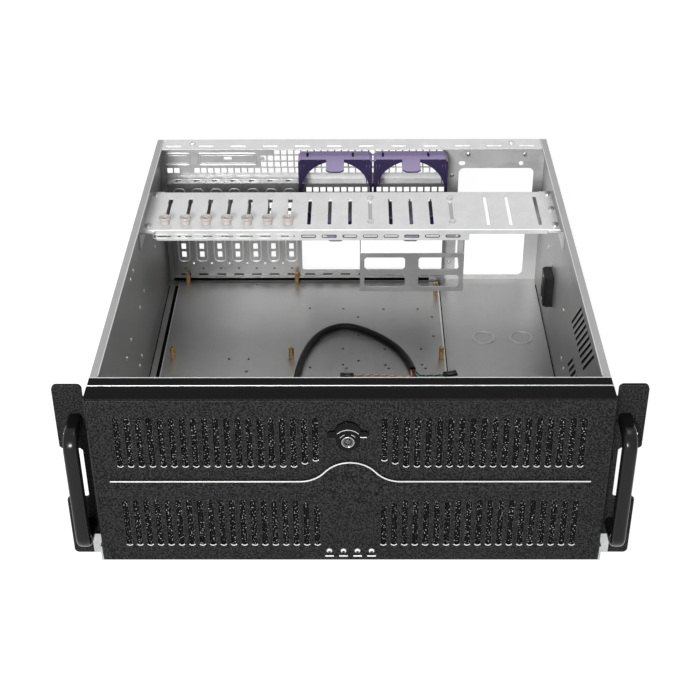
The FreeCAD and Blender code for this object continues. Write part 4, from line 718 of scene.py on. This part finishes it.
def seams():
    """Painted shade where the sheets meet: near-black strips along the seams, louvre slots, lower rear wall
    and bar slots; painted highlights: raised strips in the lighter sheet colour beside the louvres, along
    the tray's edges and round the floor's knock-outs.
    """
    gap, edge = bmesh.new(), bmesh.new()
    line(gap, (-201.6, 131, 1.0), (-201.6, 455, 1.0), UP, 4.4, 0.15)
    line(edge, (-198.4, 131, TRAY_TOP), (-198.4, 455, TRAY_TOP), UP, 1.0, 0.25)
    line(edge, (97.6, 131, TRAY_TOP), (97.6, 455, TRAY_TOP), UP, 1.6, 0.3)
    line(gap, (99.6, 131, 2.2), (99.6, 455, 2.2), UP, 1.1, 0.1)
    for side in (-1, 1):
        line(gap, (side * 210.4, 60, 1.0), (side * 210.4, 456, 1.0), UP, 1.1, 0.15)
    line(gap, (-205, LOWER_REAR_Y, 8.2), (88, LOWER_REAR_Y, 8.2), FORWARD, 3.6, 0.3)
    for number in range(13):
        x = -190.8 + COVER_PITCH * number
        line(gap, (x - 5.4, LOWER_REAR_Y, 14.9), (x + 5.4, LOWER_REAR_Y, 14.9), FORWARD, 1.7, 0.25, 2)
        if number < 7:
            line(gap, (x - 4, LOWER_REAR_Y, 26.7), (x + 4, LOWER_REAR_Y, 26.7), FORWARD, 1.0, 0.25, 2)
            line(gap, (x - 1.1, LOWER_REAR_Y, 23), (x + 1.1, LOWER_REAR_Y, 23), FORWARD, 2.0, 0.25, 2)
    for rear, low, rise, count in ((205, 106, 44, 9), (203, 58, 24, 5)):
        for number in range(count):
            y = rear + 2.2 - 9.9 * number
            x, foot, head, inward = 211.02, low + 1, low + rise - 1, (-1, 0, 0)
            line(gap, (x, y - 1, foot), (x, y - rise + 1, head), inward, 3.6, 0.2, 2)
            line(edge, (x, y + 2.2, foot), (x, y - rise + 4.2, head), inward, 0.8, 0.5, 2)
    for x in (142.3, 183.1):
        bead(edge, [(x + 11.6 * math.cos(t), 344 + 11.6 * math.sin(t), 1.0) for t in
                    np.linspace(0, 2 * math.pi, 41)[:-1]], UP, 1.8, 0.7)
    for number in range(8):
        x = -42.5 + BAR_PITCH * number
        loop = [(a, 294.98, z) for a, z in rounded_loop(x - 7, x + 7, 151.4, 154, 0.9, 3)]
        bead(gap, loop, FORWARD, 0.8, 0.15)
    # The near-black strips are painted shade; the lighter sheet strips are painted highlights.
    piece("sheet_gaps", gap, SHADE_BLACK, "case", smooth=False)
    piece("pressed_edges", edge, SHEET, "case")


def board_posts():
    left, right, middle = BOARD_X - 124.46, BOARD_X + 157.48, BOARD_X
    rear = BOARD_Y
    spots = [(left, rear), (middle, rear), (right, rear - 22.86)]
    spots += [(x, y) for y in (rear - 154.94, rear - 227.33) for x in (left, middle, right)]
    bm = bmesh.new()
    for x, y in spots:
        turn = random.Random(int(x * 7 + y)).uniform(0, 1)
        matrix = Matrix.Translation(Vector((x, y, TRAY_TOP))) @ Matrix.Rotation(turn, 4, "Z")
        lathe(bm, [(0, 0.0), (2.35, 0.0), (2.6, 0.35), (2.6, 13.9), (2.25, 14.9), (1.55, 15.0), (1.4, 14.6),
                   (1.4, 9.5), (0, 9.2)], matrix, 6)
    piece("threaded_posts", bm, BRASS, "case", ["standoffs"], smooth=False)


def tapped_collars():
    """Short near-black cups drawn down under the tray's spare holes, so that the holes read dark: painted
    shade.
    """
    bm = bmesh.new()
    for x, y in SPARE_HOLES:
        lathe(bm, [(1.62, 5.9), (1.62, 2.6), (0, 2.6), (0, 2.4), (2.3, 2.4), (2.3, 4.99)],
              Matrix.Translation(Vector((x + BOARD_X, y + BOARD_Y, 0))), 14)
    piece("tapped_collars", bm, SHADE_BLACK, "case", smooth=False)


# ---------------------------------------------------------------- front

def handles():
    for word, side in (("left", -1), ("right", 1)):
        x = side * HANDLE_X
        path, radius = [], 11.0
        path += [np.array((x, -0.1 - 17.9 * t, HANDLE_LOW)) for t in np.linspace(0, 1, 8)]
        for cy, cz, start in ((-18, 44.4, 270), (-18, 132.6, 180)):
            for number in range(15):
                turn = math.radians(start - 90 * number / 14)
                path.append(np.array((x, cy + radius * math.cos(turn), cz + radius * math.sin(turn))))
            if start == 270:
                path += [np.array((x, -29, z)) for z in np.linspace(48, 129, 24)]
        path += [np.array((x, -18 + 17.9 * t, HANDLE_HIGH)) for t in np.linspace(0, 1, 8)[1:]]
        path = np.array(path)
        ahead = np.gradient(path, axis=0)
        ahead /= np.linalg.norm(ahead, axis=1)[:, None]
        sideways = np.tile((1.0, 0, 0), (len(path), 1))
        frames = (sideways, np.cross(sideways, ahead))
        profile = []
        for number in range(28):
            turn = 2 * math.pi * number / 28
            c, s = math.cos(turn), math.sin(turn)
            profile.append((6 * math.copysign(abs(c) ** 0.62, c), 6 * math.copysign(abs(s) ** 0.62, s)))
        bm = bmesh.new()
        sweep(bm, path, lambda along, number: profile, frames=frames)
        piece("bow_handle_" + word, bm, BOW, "case", ["handle_" + word])


# step to each neighbouring cell, and the two corners on the side shared with it
NEIGHBOURS = (((0, -1), (0, 1)), ((1, 0), (1, 2)), ((0, 1), (2, 3)), ((-1, 0), (3, 0)))


def filter_pad():
    """Foam pad behind the door's slots, torn out round the lock."""
    width, height, cell = 392.0, 140.4, 2.6
    across, up = int(width / cell), int(height / cell)
    bm = bmesh.new()
    sides = []
    for back, y in ((0, -18.45), (1, -12.6)):
        grid = {}
        for i in range(across + 1):
            for j in range(up + 1):
                x, z = -196 + width * i / across, 22.6 + height * j / up
                push = 0.75 * noise.fractal(Vector((x * 0.35, z * 0.35, 7.0 * back)), 0.7, 2.0, 2)
                edge = i in (0, across) or j in (0, up)
                depth = 0.0 if edge else abs(push)
                grid[i, j] = bm.verts.new((x, y + (depth if not back else -depth), z))
        sides.append(grid)

    def solid(i, j):
        x, z = -196 + width * (i + 0.5) / across, 22.6 + height * (j + 0.5) / up
        return 0 <= i < across and 0 <= j < up and math.hypot(x - LOCK_X, z - LOCK_Z) > 10.5

    front, back = sides
    for i in range(across):
        for j in range(up):
            if not solid(i, j):
                continue
            corners = ((i, j), (i + 1, j), (i + 1, j + 1), (i, j + 1))
            bm.faces.new([front[c] for c in corners])
            bm.faces.new([back[c] for c in reversed(corners)])
            for (di, dj), (a, b) in NEIGHBOURS:
                if not solid(i + di, j + dj):
                    bm.faces.new([front[corners[b]], front[corners[a]], back[corners[a]], back[corners[b]]])
    loose = [v for v in bm.verts if not v.link_faces]
    bmesh.ops.delete(bm, geom=loose, context="VERTS")
    pad = piece("filter_pad", bm, FOAM, "door", ["air_filter"])


def front_details():
    bm = bmesh.new()
    for number in range(4):
        x = LENS_PITCH * (number - 1.5)
        lathe(bm, [(0, 0), (2.45, 0), (2.45, 1.6), (2.2, 1.95), (1.5, 2.25), (0.8, 2.35), (0, 2.38)],
              towards((x, -18.4, 18.9), FORWARD), 24)
    piece("indicator_lenses", bm, LENS, "door", ["led_lenses"])
    bm = bmesh.new()
    for number in range(4):
        x = LENS_PITCH * (number - 1.5)
        soft_box(bm, (x - 3.7, -20.12, 12.4), (x + 3.7, -19.95, 13.7), 0.05, 0)
        # A black disc low on each lens's front: painted reflection, dark below the bright top.
        lathe(bm, [(0, 0), (1.25, 0), (1.05, 0.35), (0, 0.4)], towards((x, -20.65, 18.2), FORWARD), 16, 1)
    piece("indicator_marks", bm, [INK, BLACK], "door", smooth=False)
    bm = bmesh.new()
    # A bright zinc bead along the front frame's top edge: a painted highlight.
    strip(bm, [(-211.5 + 423 * step / 40, 0.1, 176.95) for step in range(41)], (0, -0.4, 0.9), 0.9, 0.35)
    piece("frame_edge", bm, ZINC, "case")


def band_line(upper, reach, steps=13):
    """One edge of the raised band: level, then an S-curve over the crown in the middle."""
    level, rise, half = (96.2, 19.7, 41.5) if upper else (87.1, -17.6, 41.5)
    radius = (half * half + rise * rise) / (4 * abs(rise))
    sign = 1 if rise > 0 else -1
    limit = math.asin(half / 2 / radius)
    left = []
    for step in range(steps):
        turn = limit * step / (steps - 1)
        left.append((-half + radius * math.sin(turn), level + sign * radius * (1 - math.cos(turn))))
    for step in range(1, steps):
        turn = limit * (1 - step / (steps - 1))
        left.append((-radius * math.sin(turn), level + rise - sign * radius * (1 - math.cos(turn))))
    flat = [(-reach + (reach - half) * step / 30, level) for step in range(30)]
    line = flat + left
    return line + [(-x, z) for x, z in reversed(line[:-1])]


def band():
    """Crowned band over the source's flat one, so that its edges are rounded."""
    rows = ((0.25, -19.9), (0.3, -21.0), (0.22, -21.7), (-0.15, -22.25), (-0.7, -22.5), (-1.5, -22.56))
    upper, lower = band_line(True, BAND_END), band_line(False, BAND_END)
    bm = bmesh.new()

    def offset(line, amount, sign):
        out = []
        for number, (x, z) in enumerate(line):
            before, after = line[max(number - 1, 0)], line[min(number + 1, len(line) - 1)]
            dx, dz = after[0] - before[0], after[1] - before[1]
            size = math.hypot(dx, dz)
            out.append((x - sign * amount * dz / size, z + sign * amount * dx / size))
        return out

    grid = []
    sides = [(upper, 1, row) for row in rows] + [(lower, -1, row) for row in reversed(rows)]
    for edge, sign, (grow, y) in sides:
        spots = offset(edge, grow, sign)
        grid.append([bm.verts.new((x * (BAND_END + grow) / BAND_END, y, z)) for x, z in spots])
    for low, high in zip(grid, grid[1:]):
        for number in range(len(low) - 1):
            bm.faces.new([low[number], low[number + 1], high[number + 1], high[number]])
    for end in (0, -1):
        bm.faces.new([row[end] for row in grid])
    piece("band_crown", bm, COAT, "door")
    # Painted highlights: light grey strips along the band's upper edge and crescents at the foot of each
    # door slot.
    bm = bmesh.new()
    strip(bm, [(x, -22.35, z) for x, z in offset(upper, 0.05, 1)], (0, -0.75, 0.66), 1.15, 0.35)
    for x in [side * (SLOT_END - SLOT_PITCH * number) for side in (-1, 1) for number in range(19)]:
        inner = max(0.0, (abs(abs(x) - SLOT_END) - SLOT_PITCH * 16) / SLOT_PITCH)
        for low, deep in ((109.8 + 3.1 * round(inner), 0.8), (25.4, 1.0)):
            arc = [math.radians(205 + 130 * step / 8) for step in range(9)]
            strip(bm, [(x + 2.75 * math.cos(a), -20.02, low + 2.5 + 2.75 * math.sin(a)) for a in arc],
                 FORWARD, deep, 0.22)
    piece("bright_edges", bm, HIGHLIGHT_GREY, "door")
    # Painted shade: a black strip along the band's lower edge.
    bm = bmesh.new()
    strip(bm, [(x, -20.1, z) for x, z in offset(lower, 0.75, -1)], FORWARD, 0.9, 0.12)
    piece("band_groove", bm, TRIM, "door")


def lock_details():
    bm = bmesh.new()
    at = towards((LOCK_X, 2.2, LOCK_Z), FORWARD)
    profile = [(0, 0), (5.55, 0), (5.55, 24.9), (5.3, 25.6), (4.9, 25.8), (4.5, 25.6), (4.35, 24.9),
               (3.35, 24.8), (3.25, 23.4), (2.35, 23.4), (2.25, 25.0), (1.9, 25.2), (0, 25.25)]
    lathe(bm, profile, at, 48)
    # The barrel's recessed end face takes the dark recess colour: painted shade.
    for face in bm.faces:
        spots = [at.inverted() @ v.co for v in face.verts]
        if max(math.hypot(p.x, p.y) for p in spots) < 4.4 and min(p.z for p in spots) > 23:
            face.material_index = 1
    piece("key_barrel", bm, [CHROME, RECESS_SHADE], "lock", ["lock_barrel"])
    # A dark keyway standing on the barrel's face: painted shade of the slot.
    bm = bmesh.new()
    soft_box(bm, (-2.0, -23.35, 137.9), (-1.2, -22.7, 141.0), 0.1)
    soft_box(bm, (-2.1, -23.12, 136.5), (-1.1, -22.95, 138.1), 0.06)
    piece("key_slot", bm, RECESS_SHADE, "lock", smooth=False)
    # Painted highlights: light grey arcs and dashes on the escutcheon's edges.
    bm = bmesh.new()
    for low, high, radius, wide in ((42, 138, 11.6, 0.5), (38, 70, 7.3, 0.4), (112, 150, 7.3, 0.4)):
        arc = [math.radians(low + (high - low) * step / 14) for step in range(15)]
        strip(bm, [(LOCK_X + radius * math.cos(a), -22.42, LOCK_Z + radius * math.sin(a)) for a in arc],
             FORWARD, wide, 0.25)
    strip(bm, [(x, -22.42, 141.6) for x in (8.2, 10.0, 12.0, 13.6)], FORWARD, 0.9, 0.2)
    piece("trim_edges", bm, HIGHLIGHT_GREY, "door")


# ---------------------------------------------------------------- cable

SLEEVE = ((-44, 13.6, 9.5), (-44, 55, 9.5), (-50, 100, 9.5), (-46, 150, 9.5), (-56, 202, 9.5),
          (-57.5, 254, 9.5), (-50, 306, 9.5), (-34, 343, 9.5), (-8, 358, 9.5), (20, 343, 9.5),
          (45, 318, 9.5), (60, 287, 9.5), (63, 270, 9.5))
LEADS = (
    ("lead_1", ("orange", "white"), ((60.833, 269.618, 9.5), (63.266, 255.831, 9.5), (49, 257.5, 9.2),
                                     (30, 261, 8.6), (12, 262.5, 7.5), (2, 262.5, 7.4))),
    ("lead_2", ("red", "black"), ((63, 270, 9.5), (65.3, 256.967, 9.5), (73, 252.5, 8.8), (81, 257, 9),
                                  (87, 249, 7.6), (84, 238, 7.4))),
    ("lead_3", ("green", "black"), ((65.167, 270.382, 9.5), (67.25, 258.578, 9.5), (80, 260.5, 8.6),
                                    (87, 262, 7.4), (95, 264, 7.4))),
)


def plug(name, number, before, end):
    """Crimp housing in line with the end of its lead, with latch windows and a polarising nib."""
    heading = math.atan2(end[1] - before[1], end[0] - before[0])
    matrix = Matrix.Translation(Vector((end[0], end[1], TRAY_TOP))) @ Matrix.Rotation(heading, 4, "Z")
    bm = bmesh.new()
    for low, high in ((-3.78, -0.12), (0.12, 3.78)):
        soft_box(bm, (0.02, low, 0.02), (13.9, high, 2.6), 0.35, 0, matrix)
        middle = (low + high) / 2
        # Latch windows and contact openings in the dark recess colour: painted shade.
        soft_box(bm, (4.0, middle - 0.7, 2.5), (9.0, middle + 0.7, 2.78), 0.12, 1, matrix)
        soft_box(bm, (13.7, middle - 0.8, 0.7), (13.98, middle + 0.8, 2.1), 0.1, 1, matrix)
    soft_box(bm, (2.2, -0.5, 0.3), (12.2, 0.5, 2.3), 0.2, 0, matrix)
    return piece(name, bm, [BLACK, RECESS_SHADE], "case", ["plug_%d" % number])


def cables():
    path, length = smooth_path(SLEEVE, 0.8)
    bm = bmesh.new()

    def woven(along, number):
        out = []
        for step in range(24):
            turn = 2 * math.pi * step / 24
            lay = 2 * math.pi * along / 3.2
            rise = 0.07 * math.sin(lay + 6 * turn) * math.sin(lay - 6 * turn)
            reach = 3.36 + rise
            if along < 12 or along > length - 14:
                reach = 3.42
            out.append((reach * math.cos(turn), reach * math.sin(turn)))
        return out

    sweep(bm, path, woven, uv=(1.25, 0.5))
    sleeve = piece("braided_cable", bm, BRAID, "case", ["front_panel_cable"])
    shrink = bmesh.new()
    count = len(path)
    for first, last in ((0, 15), (count - 18, count)):
        part = path[first:last]

        def collar(along, number, size=len(part)):
            inset = 0.12 if number in (0, size - 1) else 0.0
            return disc(3.48 - inset, 28)

        sweep(shrink, part, collar)
    shrink_tubes = piece("shrink_tubes", shrink, BLACK, "case")
    for number, (name, colors, route) in enumerate(LEADS, 1):
        line, run = smooth_path(route, 0.55)
        side, up = frames_along(line)
        bm = bmesh.new()
        for strand in (0, 1):
            twist = 2 * math.pi * np.linspace(0, run, len(line)) / 8.5 + math.pi * strand
            offset = 0.53 * (side * np.cos(twist)[:, None] + up * np.sin(twist)[:, None])
            sweep(bm, line + offset, lambda along, n: disc(0.52, 12), mat=strand)
        item = piece(name + "_pair", bm, [WIRES[key] for key in colors], "case", [name])
        end = plug("crimp_plug_%d" % number, number, route[-2], route[-1])


# ---------------------------------------------------------------- boards, switch and fan holders

def board_details():
    bm = bmesh.new()
    soft_box(bm, (-51, 13.6, 5.0), (-37, 15.4, 15.0), 0.4, 0)
    for number in range(4):
        x = -62 + 4.2 * number
        soft_box(bm, (x, 13.55, 7), (x + 2.2, 14.5, 10.4), 0.2, 1)
        soft_box(bm, (x, 13.55, 13), (x + 1.4, 14.1, 15.6), 0.1, 2)
    piece("board_parts", bm, [BLACK, INK, STEEL], "case")


def switch_details():
    bm = bmesh.new()
    soft_box(bm, (200.9, 336, 55), (201.4, 350, 76), 0.2, 0)
    soft_box(bm, (200.3, 338.5, 58), (201.0, 347.5, 66), 0.3, 0)
    for z in (52, 79.3):
        lathe(bm, [(1.7, 0), (1.7, 0.4), (1.3, 0.7), (0.5, 0.6), (0, 0.4)],
              towards((201.3, 343, z), (-1, 0, 0)), 20, 1)
    piece("switch_face", bm, [BLACK, STEEL], "case")


def fan_holder_details():
    for number, word in enumerate(("left", "right")):
        left = -57.9 + 81.5 * number
        right = left + 79.8
        bm = bmesh.new()
        for offset in (21.5, 71.0):
            soft_box(bm, (left + offset - 0.5, 436.3, 163.5), (left + offset + 0.5, 437.2, 168.4), 0.2)
        for offset in (2.8, 6.2):
            for x in (left + offset, right - offset):
                soft_box(bm, (x - 0.4, 436.4, 122 + 3 * offset), (x + 0.4, 437.2, 162), 0.2)
        # Near-black strips on the holder's top: painted shade of its slits.
        for x in (left + 10, left + 59):
            soft_box(bm, (x - 2.2, 439.5, 163.6), (x + 2.2, 456, 166.9), 0.2, 1)
        piece("fan_holder_ribs_" + word, bm, [PURPLE, BLACK], "case")


# ---------------------------------------------------------------- camera, light and floor

def camera():
    yaw, pitch, roll = (math.radians(v) for v in (-0.436, 33.283, -0.303))
    ahead = Vector((math.sin(yaw) * math.cos(pitch), math.cos(yaw) * math.cos(pitch), -math.sin(pitch)))
    level = Vector((math.cos(yaw), -math.sin(yaw), 0))
    up = level.cross(ahead)
    c, s = math.cos(roll), math.sin(roll)
    axes = (c * level + s * up, -s * level + c * up, -ahead)
    data = bpy.data.cameras.new("camera")
    data.sensor_width = 36
    data.lens = 1376 / 700 * 36
    data.clip_start, data.clip_end = 0.05, 30
    item = placed("camera", data)
    item.matrix_world = Matrix.Translation((0.0072, -0.9096, 0.8083)) @ Matrix(axes).transposed().to_4x4()
    bpy.context.scene.camera = item


def area(name, at, target, size, power):
    """A rectangular lamp that faces its target."""
    data = bpy.data.lights.new(name, "AREA")
    data.shape = "RECTANGLE"
    data.size, data.size_y = size
    data.energy = power
    item = placed(name, data)
    item.location = at
    item.rotation_euler = (Vector(target) - Vector(at)).to_track_quat("-Z", "Y").to_euler()


def added(tree, kind, **inputs):
    item = tree.nodes.new("ShaderNode" + kind)
    for key, value in inputs.items():
        item.inputs[key].default_value = value
    return item


def by_view(tree, lighting, seen, output):
    """Joins what lights the object with what the camera and its reflections see."""
    path = added(tree, "LightPath")
    total = path.outputs["Is Camera Ray"]
    for name in ("Is Glossy Ray", "Is Transmission Ray"):
        step = added(tree, "Math")
        step.operation = "MAXIMUM"
        tree.links.new(total, step.inputs[0])
        tree.links.new(path.outputs[name], step.inputs[1])
        total = step.outputs[0]
    mix = added(tree, "MixShader")
    for source, socket in zip((total, lighting.outputs[0], seen.outputs[0]), mix.inputs):
        tree.links.new(source, socket)
    tree.links.new(mix.outputs[0], tree.nodes[output].inputs["Surface"])


def surroundings():
    """White world and floor for the camera, plain light for the object, and two lamps."""
    world = bpy.data.worlds.new("studio")
    bpy.context.scene.world = world
    world.use_nodes = True
    tree = world.node_tree
    plain = tree.nodes["Background"]
    plain.inputs["Color"].default_value = (0.14, 0.14, 0.143, 1)
    by_view(tree, plain, added(tree, "Background", Color=(1, 1, 1, 1)), "World Output")

    mat = bpy.data.materials.new("studio_floor")
    mat.use_nodes = True
    tree = mat.node_tree
    tree.nodes.remove(tree.nodes["Principled BSDF"])
    lit = added(tree, "BsdfDiffuse", Color=(0.8, 0.8, 0.8, 1))
    shade = added(tree, "BsdfDiffuse", Color=(0.35, 0.35, 0.35, 1))
    glow = added(tree, "Emission", Strength=0.88)
    total = added(tree, "AddShader")
    tree.links.new(shade.outputs[0], total.inputs[0])
    tree.links.new(glow.outputs[0], total.inputs[1])
    by_view(tree, lit, total, "Material Output")
    bm = bmesh.new()
    bmesh.ops.create_grid(bm, x_segments=1, y_segments=1, size=6)
    mesh = bpy.data.meshes.new("studio_floor")
    bm.to_mesh(mesh)
    bm.free()
    mesh.materials.append(mat)
    floor = placed("studio_floor", mesh)
    floor.location.z = -0.0004

    area("front_key", (-0.55, -2.7, 1.36), (0, 0.2, 0.05), (0.7, 0.5), 116)
    area("overhead", (0.35, 0.25, 2.1), (0, 0.25, 0), (0.8, 0.7), 8)


fasteners()
rear_vents()
wall_details()
slot_cover_beads()
bar_details()
retainers()
seams()
board_posts()
tapped_collars()
handles()
filter_pad()
front_details()
band()
lock_details()
cables()
board_details()
switch_details()
fan_holder_details()
camera()
surroundings()
bpy.context.scene.view_settings.view_transform = "Standard"
